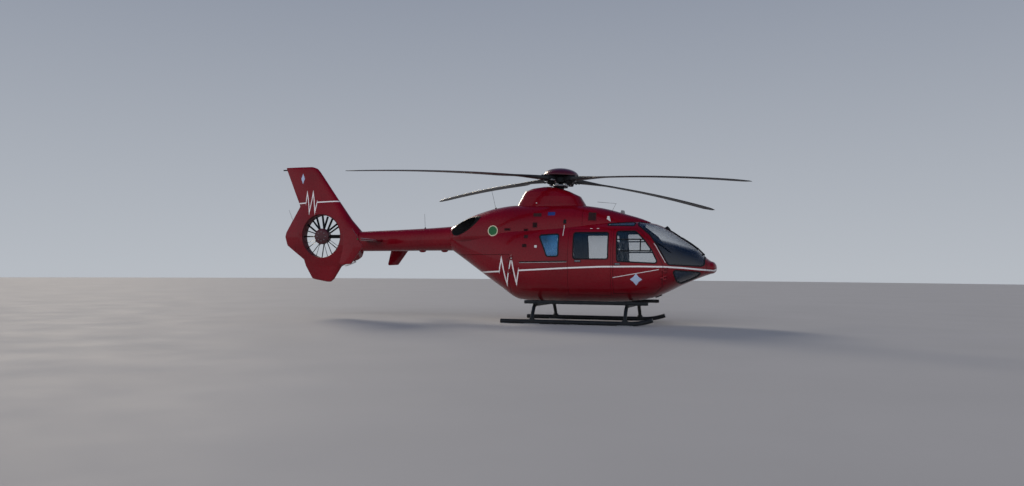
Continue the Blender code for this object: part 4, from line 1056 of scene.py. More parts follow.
def make_exhaust(side_name, side, panels, proud):
    """A pipe through the panels, cut off a little proud of the skins, sooted inside and near black there
    partly as painted shade.
    """
    start, end = (Vector((x, y * side, z)) for x, y, z in (EXHAUST_START, EXHAUST_END))
    way = (end - start).normalized()
    turn = Matrix.Translation(start) @ way.to_track_quat("Z", "Y").to_matrix().to_4x4()
    length = (end - start).length

    def pipe(name, radius, low, high):
        return turned(name, ((radius, low), (radius, high)), 72, turn)
    for panel in panels:
        carve(panel, pipe("form", EXHAUST_RADIUS + GAP, -0.02, length))
    exhaust = carve(pipe("exhaust", EXHAUST_RADIUS, 0, length),
                    pipe("form", EXHAUST_RADIUS - EXHAUST_WALL, -0.2, length + 0.2))
    carve(exhaust, proud, "INTERSECT", keep=True)
    exhaust.name = "exhaust_pipe_" + side_name
    dress(exhaust, EXHAUST_METAL, SOOT_AND_PAINTED_SHADE)
    # Inner faces take the near-black soot, which is partly painted shade of the pipe's depth
    for face in exhaust.data.polygons:
        away = face.center - start
        if (away - way * away.dot(way)).length < EXHAUST_RADIUS - EXHAUST_WALL / 2:
            face.material_index = 1
    settle(shaded(exhaust, 40), "airframe", ["exhaust_" + side_name])
    # A near-black blank deep in the pipe: soot and painted shade where the pipe would run on into the engine
    blank = turned("exhaust_soot_and_shade_blank_" + side_name, ((0.146, 0.10), (0.146, 0.14), (0.03, 0.26)), 48, turn)
    fit(blank, SOOT_AND_PAINTED_SHADE)


def make_cowls(aft):
    skin, space = cowl("cowl_outer"), cowl("cowl_inner", -COWL_SKIN)
    shell = carve(carve(copied(skin, "cowl_shell"), pod("roof_form", GAP)), copied(space, "cowl_space"))
    proud = carve(pod("proud", EXHAUST_PROUD), cowl("proud_cowl", EXHAUST_PROUD), "UNION")
    for side_name, side in SIDES:
        make_exhaust(side_name, side, (shell, aft), proud)
    hole = turned("form", ((0.100, 2.0), (0.100, 4.0)), 48, MAST_TILT)
    half = SEAM / 2
    ahead = crossed(shell, "cowl_front_panel", block("form", (COWL_SPLIT + half, -FAR, 0), (FAR, FAR, FAR)))
    panels = [(ahead, "cowl_forward")]
    for side_name, side in SIDES:
        low, high = sorted((side * half, side * FAR))
        form = block("form", (-FAR, low, 0), (COWL_SPLIT - half, high, FAR))
        panel = carve(crossed(shell, "cowl_side_panel_" + side_name, form), hole, keep=True)
        panels.append((panel, "cowl_engine_" + side_name))
    hood_outer, hood_inner = fairing("fairing_outer"), fairing("fairing_inner", -COWL_SKIN)
    hood = carve(copied(hood_outer, "fairing_hood"), copied(hood_inner, "form"))
    carve(carve(hood, cowl("form", GAP)), hole)
    for item, cad, sources in (*((*panel, (skin, space)) for panel in panels),
                               (hood, "gearbox_fairing", (hood_outer, hood_inner))):
        take_curve(item, sources, (PLAIN_PAINT, TRIM))
        settle(item, "airframe", [cad])
    drop(hood_outer, hood_inner, space, shell, proud, skin)


# Tail

STABILISER_FRONT, STABILISER_CHORD, STABILISER_HEIGHT = -4.240, 0.420, 1.785
STABILISER_REACH, STABILISER_THICK = 1.220, 0.056
END_PLATE = ((-4.220, 1.610), (-4.340, 1.800), (-4.480, 2.010), (-4.680, 2.010), (-4.680, 1.600),
             (-4.770, 1.225), (-4.500, 1.240))
DUCT_RADIUS, DUCT_LIP = 0.512, 0.050


def wing_section(front, rear, half, count):
    """Points round a blunt-nosed section that ends in a thin trailing edge."""
    chord = front - rear
    nose_end, tail_start = 0.16, 0.55

    def thick(share):
        if share < nose_end:
            return half * min(1.0, math.sqrt(share / nose_end) * (1.5 - 0.5 * share / nose_end))
        return half * (1.0 if share < tail_start else 1.0 - 0.86 * ((share - tail_start) / 0.45) ** 1.6)
    shares = [0.5 - 0.5 * math.cos(math.pi * k / (count // 2)) for k in range(count // 2 + 1)]
    upper = [(front - share * chord, thick(share)) for share in shares]
    return upper + [(x, -y) for x, y in reversed(upper[1:])]


def fin_form(name):
    grid, curves = fair_table(FIN, 0.005, 0.010, straight=True)
    rings = []
    for z in stations_between(FIN[0][0], FIN[-1][0], 0.022):
        ring = wing_section(*(float(np.interp(z, grid, c)) for c in curves), 88)
        rings.append([(x, y, z) for x, y in ring])
    return loft(name, rings)


def make_boom():
    outer, inner = boom("boom_outer"), boom("boom_inner", -0.014, 0.1)
    skin = carve(boom("boom_shell", 0.0, -GAP), copied(inner, "form"))
    rise = STABILISER_THICK / 2 + GAP
    rear = STABILISER_FRONT - STABILISER_CHORD
    carve(skin, block("form", (rear - GAP, -1, STABILISER_HEIGHT - rise),
                      (STABILISER_FRONT + GAP, 1, STABILISER_HEIGHT + rise)))
    take_curve(skin, (outer, inner), (PLAIN_PAINT, TRIM))
    settle(skin, "airframe", ["tail_boom"])
    drop(outer, inner)


def make_fin():
    source = fin_form("fin_outer")
    fin = copied(source, "fin_body")
    joint = BOOM[-1][0]
    carve(fin, block("form", (joint - GAP, -1.0, 1.0), (joint + 2.0, 1.0, 3.0)))
    edge = DUCT_RADIUS + DUCT_LIP
    bell = arc(-DUCT_LIP, 0.070, range(0, 91, 10), (edge, 0.085))
    profile = [(edge, -0.30)] + [(r, -y) for r, y in reversed(bell)] + bell + [(edge, 0.30)]
    duct = turned("duct", profile, 112, moved(FAN_X, 0, FAN_Z) @ swung(-90, "X"))
    carve(fin, duct, keep=True)
    # Faces inside the duct take the red that is darkened as painted shade
    take_curve(fin, (source, duct), (FIN_PAINT, DUCT_PAINT_PAINTED_SHADE))
    settle(fin, "airframe", ["fin"])
    arm = block("fin_top_arm", (-7.050, -0.012, 3.525), (-6.940, 0.012, 3.555), 0.004)
    fit(arm, GEAR_COAT)
    drop(source, duct)


def make_stabiliser():
    rings = []
    section = wing_section(STABILISER_FRONT, STABILISER_FRONT - STABILISER_CHORD, STABILISER_THICK / 2, 44)
    for y in stations_between(-STABILISER_REACH, STABILISER_REACH, 0.08):
        rings.append([(x, y, STABILISER_HEIGHT + z) for x, z in section])
    fit(loft("stabiliser_plane", rings), PLAIN_PAINT, nodes=["stabiliser"], angle=40)
    for side_name, side in SIDES:
        low, high = sorted((side * (STABILISER_REACH - 0.02), side * (STABILISER_REACH + 0.012)))
        fence = plate("end_plate_" + side_name, rounded(END_PLATE, 0.03), low, high, bevel=0.008)
        fit(fence, PLAIN_PAINT)


def pitched(radius, y, z, turn):
    """A point of a blade's section, turned about the blade's own length."""
    return radius, y * math.cos(turn) - z * math.sin(turn), y * math.sin(turn) + z * math.cos(turn)


def airfoil_blade(name, sections, matrix):
    """A blade lofted along X: radius, chord, thickness, pitch in degrees and how far ahead its edge is."""
    rings = []
    for radius, chord, thick, pitch, ahead in sections:
        turn = math.radians(pitch)
        ring = []
        for k in range(20):
            a = 2 * math.pi * k / 20
            y = ahead - chord * (0.5 - 0.5 * math.cos(a))
            z = thick / 2 * math.sin(a) * (1.25 - 0.5 * (ahead - y) / chord)
            ring.append(pitched(radius, y, z, turn))
        rings.append(ring)
    made = loft(name, rings)
    made.data.transform(matrix)
    return made


FAN_RADIUS, FAN_ROOT, FAN_HUB = 0.4985, 0.182, 0.190
FAN_BLADES, VANE_PLACES = 10, 11         # one vane place is taken by the drive shaft's fairing
STATOR_HUB = 0.165


def round_about(count):
    """Turns about Z to each of several equal places."""
    return [Matrix.Rotation(2 * math.pi * k / count, 4, "Z") for k in range(count)]


def make_fan():
    at = moved(FAN_X, -0.060, FAN_Z) @ swung(-90, "X")
    dome = arc(FAN_HUB, -0.030, range(80, -1, -10), (0.0, -0.025))
    hub = turned("fan_hub", dome + [(FAN_HUB, 0.052), (0.184, 0.055)], 64, at)
    fit(hub, CAP_PAINT, "tail_rotor", ["tail_fan"])
    length = FAN_RADIUS - FAN_ROOT
    sections = [(FAN_ROOT + length * s, 0.056 - 0.006 * s, 0.014 - 0.008 * s, 62 - 18 * s, 0.022)
                for s in (0.0, 0.1, 0.25, 0.5, 0.75, 1.0)]
    places = [at @ turn for turn in round_about(FAN_BLADES)]
    blades = [airfoil_blade("blade", sections, place) for place in places]
    cuffs = [turned("cuff", ((0.020, 0.170), (0.020, 0.205), (0.012, 0.212)), 16, place @ swung(90, "Y"))
             for place in places]
    bolts = [turned("bolt", ((0.009, -0.028), (0.009, -0.022)), 6, at @ turn @ moved(0.11, 0, -0.024))
             for turn in round_about(8)]
    for name, items, finish in (("fan_blades", blades, HARD_ANODISED), ("fan_cuffs", cuffs, HARD_ANODISED),
                                ("fan_hub_bolts", bolts, MACHINED)):
        fit(joined(name, items), finish, "tail_rotor")


def make_stator():
    at = moved(FAN_X, -0.0045, FAN_Z) @ swung(-90, "X")
    dome = [(STATOR_HUB, 0.0), (STATOR_HUB, 0.085)] + arc(STATOR_HUB, 0.065, range(10, 90, 10), (0.0, 0.085))
    fit(turned("stator_hub", dome, 64, at), PLAIN_PAINT, nodes=["tail_stator"])
    sections = [(radius, 0.075, 0.011, 78, 0.036) for radius in (0.156, 0.28, 0.40, 0.5105)]
    vanes = [airfoil_blade("vane", sections, at @ turn @ moved(0, 0, 0.0825))
             for turn in round_about(VANE_PLACES)[1:]]
    fit(joined("stator_vanes", vanes), HARD_ANODISED)
    arm = block("drive_shaft_fairing", (0.10, -0.0425, 0.014), (0.511, 0.0425, 0.120), 0.018, at)
    fit(arm, HARD_ANODISED)


# Main rotor

# Share of the length, chord, thickness, leading edge ahead of the blade's axis
BLADE = (
    (0.000, 0.200, 0.092, 0.100), (0.060, 0.190, 0.080, 0.096), (0.150, 0.200, 0.052, 0.096),
    (0.220, 0.285, 0.036, 0.082), (0.400, 0.285, 0.034, 0.075), (0.600, 0.285, 0.032, 0.075),
    (0.800, 0.280, 0.029, 0.072), (0.940, 0.260, 0.024, 0.060), (1.000, 0.110, 0.012, -0.030),
)
BLADES = 4
FIRST_BLADE = 54.5       # degrees from the nose, towards port
BLADE_ROOT, BLADE_TIP = 0.4405, 5.0997
BLADE_CONE, BLADE_DROOP = math.radians(-0.8), 0.250
CORE = ((0.055, -0.4645), (0.055, -0.090), (0.075, -0.084), (0.165, -0.078), (0.205, -0.072), (0.210, -0.062),
        (0.210, 0.062), (0.205, 0.072), (0.120, 0.075))
ARM = ((0.10, -0.095), (0.30, -0.080), (0.440, -0.095), (0.440, 0.095), (0.30, 0.080), (0.10, 0.095))
DAMPER = ((0.052, -0.128), (0.062, -0.122), (0.066, -0.112), (0.060, -0.104), (0.072, -0.096),
          (0.074, -0.086), (0.068, -0.078), (0.080, -0.070), (0.080, -0.047))
SWASH = ((0.150, -0.148), (0.172, -0.148), (0.176, -0.142), (0.176, -0.126), (0.172, -0.120), (0.075, -0.120),
         (0.075, -0.134))
SWASH_STILL = ((0.082, -0.182), (0.158, -0.182), (0.164, -0.176), (0.164, -0.160), (0.158, -0.154),
               (0.082, -0.154))
MAST_HOUSING = ((0.092, -0.470), (0.092, -0.380), (0.080, -0.370), (0.080, -0.182))
PITCH_BALL = ((0.004, -0.016), (0.014, -0.010), (0.016, 0.0), (0.014, 0.010), (0.004, 0.016))
BLADE_BOLT = ((0.019, -0.066), (0.019, 0.066), (0.012, 0.072))
CAP_RADIUS, CAP_RISE, CAP_RIM = 0.388, 0.171, 0.004


def blade_points(share, grid, curves, proud=0.0, spread=None):
    """Points round a main blade at a share of its length; spread gives other angles than all round."""
    chord, thick, ahead = (float(np.interp(share, grid, c)) for c in curves)
    radius = BLADE_ROOT + share * (BLADE_TIP - BLADE_ROOT)
    lift = HUB_HEIGHT + BLADE_CONE * (radius - BLADE_ROOT) - BLADE_DROOP * share ** 2
    turn = math.radians(np.interp(share, (0.05, 0.25, 1.0), (0.0, 4.0, -4.0)))
    solid = float(np.clip((0.17 - share) / 0.12, 0.0, 1.0))
    angles = [2 * math.pi * k / 36 for k in range(36)] if spread is None else spread
    ring = []
    for a in angles:
        near = 0.5 - 0.5 * math.cos(a)
        wing_y = ahead - chord * near
        fill = min(1.0, 1.9 * math.sqrt(near) * max(1 - near, 0.0) ** 0.6 + 0.03) * (a != 0.0)
        wing_z = thick / 2 * math.copysign(fill, math.sin(a))
        block_y = powered(math.cos(a), 0.5) * chord / 2
        block_z = powered(math.sin(a), 0.5) * thick / 2
        y = wing_y * (1 - solid) + block_y * solid
        z = wing_z * (1 - solid) + block_z * solid + math.copysign(proud, math.sin(a)) * (a != 0.0)
        y += proud * (a == 0.0 or near < 0.03)
        ring.append(Vector(pitched(radius, y, z, turn)) + Vector((0, 0, lift)))
    return ring


def blade_turns():
    return [MAST_TILT @ swung(FIRST_BLADE + 360 / BLADES * k) for k in range(BLADES)]


def make_blade(number, turn, grid, curves):
    shares = [0.0, 0.015, 0.03] + stations_between(0.05, 0.94, 0.018)
    shares += [0.95, 0.96, 0.97, 0.98, 0.99, 0.996, 1.0]
    name = "main_blade_%d" % number
    blade = loft("rotor_" + name, [blade_points(share, grid, curves) for share in shares])
    edge = [math.radians(a) for a in (-42, -30, -18, -8, 0, 8, 18, 30, 42)]

    def strip(shape):
        rows = []
        for share in stations_between(0.24, 0.965, 0.02):
            rows.append([shape.verts.new(p) for p in blade_points(share, grid, curves, 0.0012, edge)])
        for near, far in zip(rows, rows[1:]):
            stitch(shape, near, far)
    guard = built("erosion_strip_%d" % number, strip)
    guard.modifiers.new("wall", "SOLIDIFY").thickness = 0.0011
    guard = to_mesh(guard)
    for item, finish, nodes in ((blade, BLADE_SKIN, [name]), (guard, EROSION, ())):
        item.data.transform(turn)
        fit(item, finish, "main_rotor", nodes, 50)


def make_blade_root(number, turn):
    """Bolts and clevis plates that hold a blade, and the horn and link that set its pitch."""
    bolts = [turned("bolt", BLADE_BOLT, 24, moved(radius, y, HUB_HEIGHT))
             for radius in (0.385, 0.495) for y in (-0.050, 0.050)]
    clevis = [slab("clevis", 0.105, 0.085, height, height + 0.008, 0.003, moved(0.435, 0, HUB_HEIGHT))
              for height in (-0.052, 0.046)]
    ball = moved(0.300, 0.138, HUB_HEIGHT - 0.035)
    horn = [block("horn", (0.28, 0.085, HUB_HEIGHT - 0.050), (0.40, 0.150, HUB_HEIGHT - 0.020), 0.008),
            tube("link", [ball.translation, (0.175, 0.110, HUB_HEIGHT - 0.150)], 0.0095),
            turned("ball", PITCH_BALL, 20, ball)]
    for name, items, finish in (("blade_bolts", bolts + clevis, HARD_ANODISED),
                                ("pitch_horn", horn, MACHINED)):
        item = joined("%s_%d" % (name, number), items)
        item.data.transform(turn)
        fit(item, finish, "main_rotor")


def make_rotor():
    grid, curves = fair_table(BLADE, 0.005, 0.006)
    at = MAST_TILT @ moved(0, 0, HUB_HEIGHT)
    arms, dampers = [], []
    for number, turn in enumerate(blade_turns(), 1):
        make_blade(number, turn, grid, curves)
        make_blade_root(number, turn)
        arm = plate("arm", rounded(ARM, 0.02), HUB_HEIGHT - 0.045, HUB_HEIGHT + 0.045, "Z", 0.008)
        arm.data.transform(turn)
        arms.append(arm)
        place = turn @ moved(0, 0, HUB_HEIGHT)
        dampers.append(turned("damper", DAMPER, 40, place @ moved(0.290, 0, 0)))
        dampers.append(block("cuff", (0.150, -0.100, -0.047), (0.435, 0.100, 0.066), 0.030, place))
    core = turned("rotor_core", CORE, 72, at)
    housing = turned("mast_housing", MAST_HOUSING, 56, at)
    carve(housing, turned("form", ((0.062, -1.0), (0.062, 0.0)), 48, at))
    base = HUB_HEIGHT + 0.075 + GAP
    profile = [(0.378, base), (CAP_RADIUS, base + CAP_RIM)]
    profile += arc(CAP_RADIUS, CAP_RISE, (*range(4, 89, 4), 89.6), (0.0, base + CAP_RIM))
    flange = ((0.20, base - 0.006), (0.372, base - 0.006), (0.378, base - 0.001))
    for item, finish, body in (
            (joined("rotor_dampers", dampers), RUBBER, "main_rotor"), (housing, HARD_ANODISED, "airframe"),
            (turned("swashplate_turning", SWASH, 64, at), MACHINED, "main_rotor"),
            (turned("swashplate_still", SWASH_STILL, 64, at), HARD_ANODISED, "airframe"),
            (turned("cap_flange", flange, 64, MAST_TILT), HARD_ANODISED, "main_rotor")):
        fit(item, finish, body)
    fit(joined("rotor_hub_body", [core] + arms), HARD_ANODISED, "main_rotor", ["rotor_hub"])
    fit(turned("rotor_cap", profile, 72, MAST_TILT), CAP_PAINT, "main_rotor", ["hub_cap"], 60)


# Skid gear

SKID_Y = 1.000
SKID_RADIUS = 0.046
SKID_REAR, SKID_BEND, SKID_NOSE = -1.045, 1.700, 0.460
STEP_Y = 0.860
CROSS_TUBE_RADIUS = 0.038


def cross_tube_form(name, x, grow=0.0):
    y, z = 0.850, 0.355
    knee = [(x, SKID_Y, 0.0944), (x, SKID_Y, 0.130), (x, 0.955, 0.210), (x, y + 0.02, z - 0.03),
            (x, y - 0.03, z + 0.01), (x, 0.740, 0.385), (x, 0.640, 0.392)]
    points = knee + [(px, -py, pz) for px, py, pz in reversed(knee)]
    return tube(name, points, CROSS_TUBE_RADIUS + grow, 10)


def make_skid(side_name, side):
    y = side * SKID_Y
    nose = [(SKID_BEND + SKID_NOSE * k / 14, y, SKID_RADIUS + 0.085 * (k / 14) ** 2) for k in range(15)]
    skid = tube("skid_tube_" + side_name, [(SKID_REAR, y, SKID_RADIUS)] + nose, SKID_RADIUS, 8)
    fit(skid, GEAR_COAT, nodes=["skid_" + side_name], angle=50)
    sockets, shoes, posts = [], [], []
    for x in CROSS_TUBES.values():
        sockets.append(slab("socket", 0.07, 0.050, 0.020, 0.096, 0.010, moved(x, y, 0)))
        sockets.append(turned("collar", ((0.046, 0.088), (0.052, 0.092), (0.052, 0.122), (0.046, 0.126)), 40,
                              moved(x, y, 0)))
        for dx in (-0.052, 0.052):
            sockets.append(turned("bolt", ((0.010, 0.0), (0.010, 0.008), (0.007, 0.010)), 6,
                                  moved(x + dx, y, 0.0955)))
        shoes.append(slab("shoe", 0.16, 0.03, 0.0, 0.012, 0.003, moved(x, y, 0)))
        posts.append(slab("post", 0.028, 0.020, 0.380, 0.44, 0.005, moved(x, side * 0.820, 0)))
    shoes += [slab("shoe", 0.09, 0.022, 0.0005, 0.010, 0.003, moved(x, y, 0)) for x in (-0.95, 0.55, 1.68)]
    plug = turned("skid_plug_" + side_name, ((0.040, -0.004), (0.045, 0.0), (0.045, 0.006)), 32,
                  moved(SKID_REAR, y, SKID_RADIUS) @ swung(90, "Y"))
    for item, finish in ((joined("skid_sockets_" + side_name, sockets), GEAR_COAT),
                         (joined("skid_shoes_" + side_name, shoes), MACHINED), (plug, RUBBER),
                         (joined("step_posts_" + side_name, posts), GEAR_COAT)):
        fit(item, finish)


def make_step(side_name, side):
    y = side * STEP_Y
    beam = block("step_beam_" + side_name, (-0.560, y - 0.055, 0.414), (2.045, y + 0.055, 0.486), 0.014)
    fit(beam, GEAR_COAT, nodes=["step_" + side_name])
    ribs = [((x, y, 0.4862), UP, (0, 1, 0)) for low, high in ((-0.520, 0.120), (0.300, 1.200), (1.330, 2.010))
            for x in np.arange(low, high, 0.016)]
    treads = scattered("step_treads_" + side_name, BARS, ribs, GRIT, Length=0.082, Width=0.007, Height=0.0018)
    fit(treads, GRIT, angle=None)


def make_gear():
    for end, x in CROSS_TUBES.items():
        leg = cross_tube_form("skid_leg_" + end, x)
        fit(leg, GEAR_COAT, nodes=["cross_tube_" + end], angle=60)
    for side_name, side in SIDES:
        make_skid(side_name, side)
        make_step(side_name, side)


# Small things that repeat

def scatter_tree(name, shape_kind, sizes):
    """A node tree that puts one small body on every point of a mesh, turned to the point's own facing."""
    tree = bpy.data.node_groups.new(name, "GeometryNodeTree")
    add = partial(node, tree)
    face = tree.interface
    face.new_socket("Spots", in_out="INPUT", socket_type="NodeSocketGeometry")
    for label in sizes:
        face.new_socket(label, in_out="INPUT", socket_type="NodeSocketFloat")
    face.new_socket("Finish", in_out="INPUT", socket_type="NodeSocketMaterial")
    face.new_socket("Bodies", in_out="OUTPUT", socket_type="NodeSocketGeometry")
    given = add("NodeGroupInput", out="Spots").node
    if shape_kind == "stud":
        radius = given.outputs["Radius"]
        top = add(MATH, (radius, 0.55), operation="MULTIPLY")
        sides = {"Vertices": 8, "Radius Top": top, "Radius Bottom": radius, "Depth": given.outputs["Height"]}
        body = add("GeometryNodeMeshCone", sides, out="Mesh")
    else:
        size = add("ShaderNodeCombineXYZ", tuple(given.outputs[label] for label in sizes))
        body = add("GeometryNodeMeshCube", {"Size": size}, out="Mesh")
    ahead = add("GeometryNodeInputNamedAttribute", {"Name": "ahead"}, data_type="FLOAT_VECTOR")
    facing = add("GeometryNodeInputNamedAttribute", {"Name": "facing"}, data_type="FLOAT_VECTOR")
    turn = add("FunctionNodeAlignRotationToVector", {"Vector": facing}, axis="Z")
    turn = add("FunctionNodeAlignRotationToVector", {"Rotation": turn, "Vector": ahead}, axis="X",
               pivot_axis="Z")
    points = add("GeometryNodeMeshToPoints", {"Mesh": given.outputs["Spots"]})
    placed = add("GeometryNodeInstanceOnPoints", {"Points": points, "Instance": body, "Rotation": turn})
    solid = add("GeometryNodeRealizeInstances", (placed,))
    finished = add("GeometryNodeSetMaterial", {"Geometry": solid, "Material": given.outputs["Finish"]})
    add("NodeGroupOutput", (finished,))
    return tree


STUDS = scatter_tree("studs", "stud", ("Radius", "Height"))
BARS = scatter_tree("bars", "bar", ("Length", "Width", "Height"))


def scattered(name, tree, spots, finish, **sizes):
    """One small body on each spot: place, way it faces, and way its length runs."""
    mesh = bpy.data.meshes.new(name)
    mesh.from_pydata([tuple(spot[0]) for spot in spots], [], [])
    for label, column in (("facing", 1), ("ahead", 2)):
        values = mesh.attributes.new(label, "FLOAT_VECTOR", "POINT")
        values.data.foreach_set("vector", [c for spot in spots for c in spot[column]])
    item = add_object(name, mesh)
    step = item.modifiers.new("scatter", "NODES")
    step.node_group = tree
    for socket in tree.interface.items_tree:
        if socket.in_out == "INPUT" and socket.name in sizes:
            step[socket.identifier] = sizes[socket.name]
        elif socket.in_out == "INPUT" and socket.name == "Finish":
            step[socket.identifier] = finish
    return to_mesh(item)


# Fittings on the skin

def skin_finder(*skins):
    """A function that follows a line to the nearest skin and gives the place and the way it faces there."""
    trees = []
    for skin in skins:
        corners = [vertex.co for vertex in skin.data.vertices]
        trees.append(BVHTree.FromPolygons(corners, [tuple(face.vertices) for face in skin.data.polygons]))

    def find(start, way):
        hits = [tree.ray_cast(Vector(start), Vector(way)) for tree in trees]
        hits = [(far, spot, normal) for spot, normal, _, far in hits if spot is not None]
        if not hits:
            return None
        far, spot, normal = min(hits, key=lambda hit: hit[0])
        return spot, normal if normal.dot(Vector(way)) < 0 else -normal
    return find


def laid(spot, facing, ahead=(1, 0, 0)):
    """A frame with Z along the facing and X as near as can be to the way ahead."""
    up = Vector(facing).normalized()
    across = up.cross(Vector(ahead)).normalized()
    turn = Matrix((across.cross(up), across, up)).transposed().to_4x4()
    return Matrix.Translation(spot) @ turn


def band(name, spots, width, thick, lift=0.0):
    """A flat strap over spots: each a place and the way it faces."""
    rings = []
    spots = [spot for spot in spots if spot]
    for k, (spot, facing) in enumerate(spots):
        ahead = Vector(spots[min(k + 1, len(spots) - 1)][0]) - Vector(spots[max(k - 1, 0)][0])
        across = Vector(facing).cross(ahead).normalized() * width / 2
        up = Vector(facing).normalized()
        low, high = Vector(spot) + up * lift, Vector(spot) + up * (lift + thick)
        rings.append([tuple(low - across), tuple(low + across), tuple(high + across), tuple(high - across)])
    return loft(name, rings)


def between_points(points, pitch):
    """Points along a broken line, a pitch apart."""
    found = []
    for a, b in zip(points, points[1:]):
        a, b = Vector(a), Vector(b)
        count = max(1, round((b - a).length / pitch))
        found += [tuple(a.lerp(b, k / count)) for k in range(count)]
    return found + [tuple(points[-1])]


FIND_SKINS = (pod("find_pod"), cowl("find_cowl"), fairing("find_fairing"), boom("find_boom"),
              fin_form("find_fin"))
FIND_POD = skin_finder(FIND_SKINS[0])
FIND_HULL = skin_finder(*FIND_SKINS[:4])
FIND_FIN = skin_finder(FIND_SKINS[4])
drop(*FIND_SKINS)


def on_side(x, z, side, find=FIND_HULL):
    """The place on one side of a skin at X and Z, and the way it faces."""
    return find((x, 3.0 * side, z), (0, -side, 0))


def from_above(x, y):
    return FIND_HULL((x, y, 4.0), DOWN)


def from_below(x):
    return FIND_HULL((x, 0.0, 0.0), UP)


def film(name, outline, centre, find, side, finish, lift=0.0006, body="airframe"):
    """A thin film pressed on the side of the hull: its outline in X and Z round a centre."""
    rings = 8

    def build(shape):
        rows = []
        for k in range(rings + 1):
            spots = [on_side(centre[0] + x * k / rings, centre[1] + z * k / rings, side, find)
                     for x, z in (outline if k else outline[:1])]
            rows.append([shape.verts.new(spot + facing * lift) for spot, facing in spots])
        for row, after in zip(rows[1:], rows[2:]):
            stitch(shape, row + row[:1], after + after[:1])
        for a, b in zip(rows[1], rows[1][1:] + rows[1][:1]):
            shape.faces.new((rows[0][0], a, b))
    item = built(name, build)
    if sum(f.normal.y for f in item.data.polygons) * side < 0:
        item.data.flip_normals()
    wall = item.modifiers.new("wall", "SOLIDIFY")
    wall.thickness = 0.0004
    wall.offset = 1.0
    fit(to_mesh(item), finish, body=body)


# Vents on each side: X, Z, length, height, slats; the first row is the engine's air intake
VENTS = ((0.805, 2.270, 0.165, 0.190, 9), (-0.376, 2.312, 0.180, 0.085, 4), (-0.415, 2.092, 0.100, 0.110, 5),
         (-0.612, 1.970, 0.090, 0.080, 4), (-0.588, 1.842, 0.090, 0.080, 4), (-1.030, 2.001, 0.140, 0.050, 3),
         (-0.609, 1.645, 0.095, 0.070, 3))
SLAT_TILT = 38          # degrees
VENT_RIM = 0.008


def make_vents(side_name, side):
    rims, backs, slats = [], [], []
    for x, z, length, height, count in VENTS:
        place = laid(*on_side(x, z, side))
        form = oblong(length / 2, height / 2)
        rim = carve(plate("rim", rounded(grown(form, VENT_RIM), 0.014), -0.010, 0.004, "Z", 0.0015),
                    plate("form", rounded(form, VENT_RIM), -0.05, 0.05, "Z"))
        rim.data.transform(place)
        rims.append(rim)
        # Near-black sheet on the uncut skin under the slats: painted shade of the vent's opening
        backs.append(slab("back", length / 2, height / 2, -0.008, 0.0006, 0.0, place))
        for k in range(count):
            at = place @ moved(0, height * ((k + 0.5) / count - 0.5), 0.0026) @ swung(-SLAT_TILT * side, "X")
            slats.append((at.translation, at.col[2].xyz, at.col[0].xyz, length))
    fit(joined("vent_rims_" + side_name, rims), PLAIN_PAINT)
    fit(joined("vent_backs_" + side_name, backs), SOOT_AND_PAINTED_SHADE)
    rows = []
    for length in sorted({slat[3] for slat in slats}):
        spots = [slat[:3] for slat in slats if slat[3] == length]
        rows.append(scattered("slats", BARS, spots, CAP_PAINT, Length=length, Width=0.011, Height=0.0014))
    fit(joined("vent_slats_" + side_name, rows), CAP_PAINT, angle=None)


def make_side_fittings(side_name, side):
    """The sliding door's rail and grip, catches, latch, fuel filler and drain line."""
    rail = [on_side(x, 1.294 + 0.018 * (x + 0.70), side) for x in np.linspace(-0.72, 0.325, 24)]
    cup = laid(*on_side(0.560, 1.318, side))
    dark = [band("rail", rail, 0.026, 0.003), slab("cup", 0.070, 0.026, -0.004, 0.003, 0.002, cup),
            slab("filler", 0.030, 0.045, -0.004, 0.012, 0.005, laid(*on_side(0.235, 2.160, side)))]
    gutter = [on_side(0.225, z, side) for z in np.linspace(2.085, 1.850, 9)]
    light = [band("rail_lip", [(spot - Vector((0, 0, 0.016)), way) for spot, way in rail], 0.006, 0.006),
             slab("port_plate", 0.027, 0.027, -0.004, 0.004, 0.003, laid(*on_side(-0.359, 1.627, side))),
             *(slab("catch", 0.026, 0.007, -0.004, 0.006, 0.002, laid(*on_side(x, 2.004, side)))
               for x in (0.820, 0.960)),
             turned("latch", ((0.013, -0.004), (0.013, 0.004), (0.008, 0.006)), 24,
                    laid(*on_side(-0.466, 2.591, side))),
             band("drain_line", gutter, 0.012, 0.006)]
    fit(joined("side_rail_" + side_name, dark), RUBBER)
    fit(joined("side_fittings_" + side_name, light), WHITE_ENAMEL)
    fit(block("door_grip_" + side_name, (-0.060, -0.011, 0.003), (0.060, 0.013, 0.017), 0.005, cup), MACHINED)


# Bars of the sliding pane and the light edge of the windscreen's pillar: X, Z
SASH = (((1.392, 1.532), (2.085, 1.532)), ((1.392, 1.772), (1.925, 1.772)), ((1.868, 1.532), (1.868, 1.772)))
PILLAR_EDGE = ((2.138, 1.690), (2.183, 1.625), (2.260, 1.490), (2.372, 1.290))


def make_front_door_fittings(side_name, side):
    """Grip, window sash and the pillar's edge beside it."""
    body = "front_door_" + side_name
    cup = laid(*on_side(1.400, 1.258, side, FIND_POD))
    fit(slab("door_cup_front_" + side_name, 0.060, 0.024, -0.004, 0.003, 0.002, cup), RUBBER, body=body)
    grip = block("door_grip_front_" + side_name, (-0.050, -0.010, 0.003), (0.050, 0.012, 0.016), 0.005, cup)
    fit(grip, MACHINED, body=body)

    def along(line, pitch):
        return [on_side(x, z, side, FIND_POD) for x, z in between_points(line, pitch)]
    sash = [band("rail", along(line, 0.04), 0.026, 0.006, -0.007) for line in SASH]
    fit(joined("door_window_sash_" + side_name, sash), RUBBER, body=body)
    fit(band("pillar_edge_" + side_name, along(PILLAR_EDGE, 0.03), 0.011, 0.0035, 0.0008), WHITE_ENAMEL)


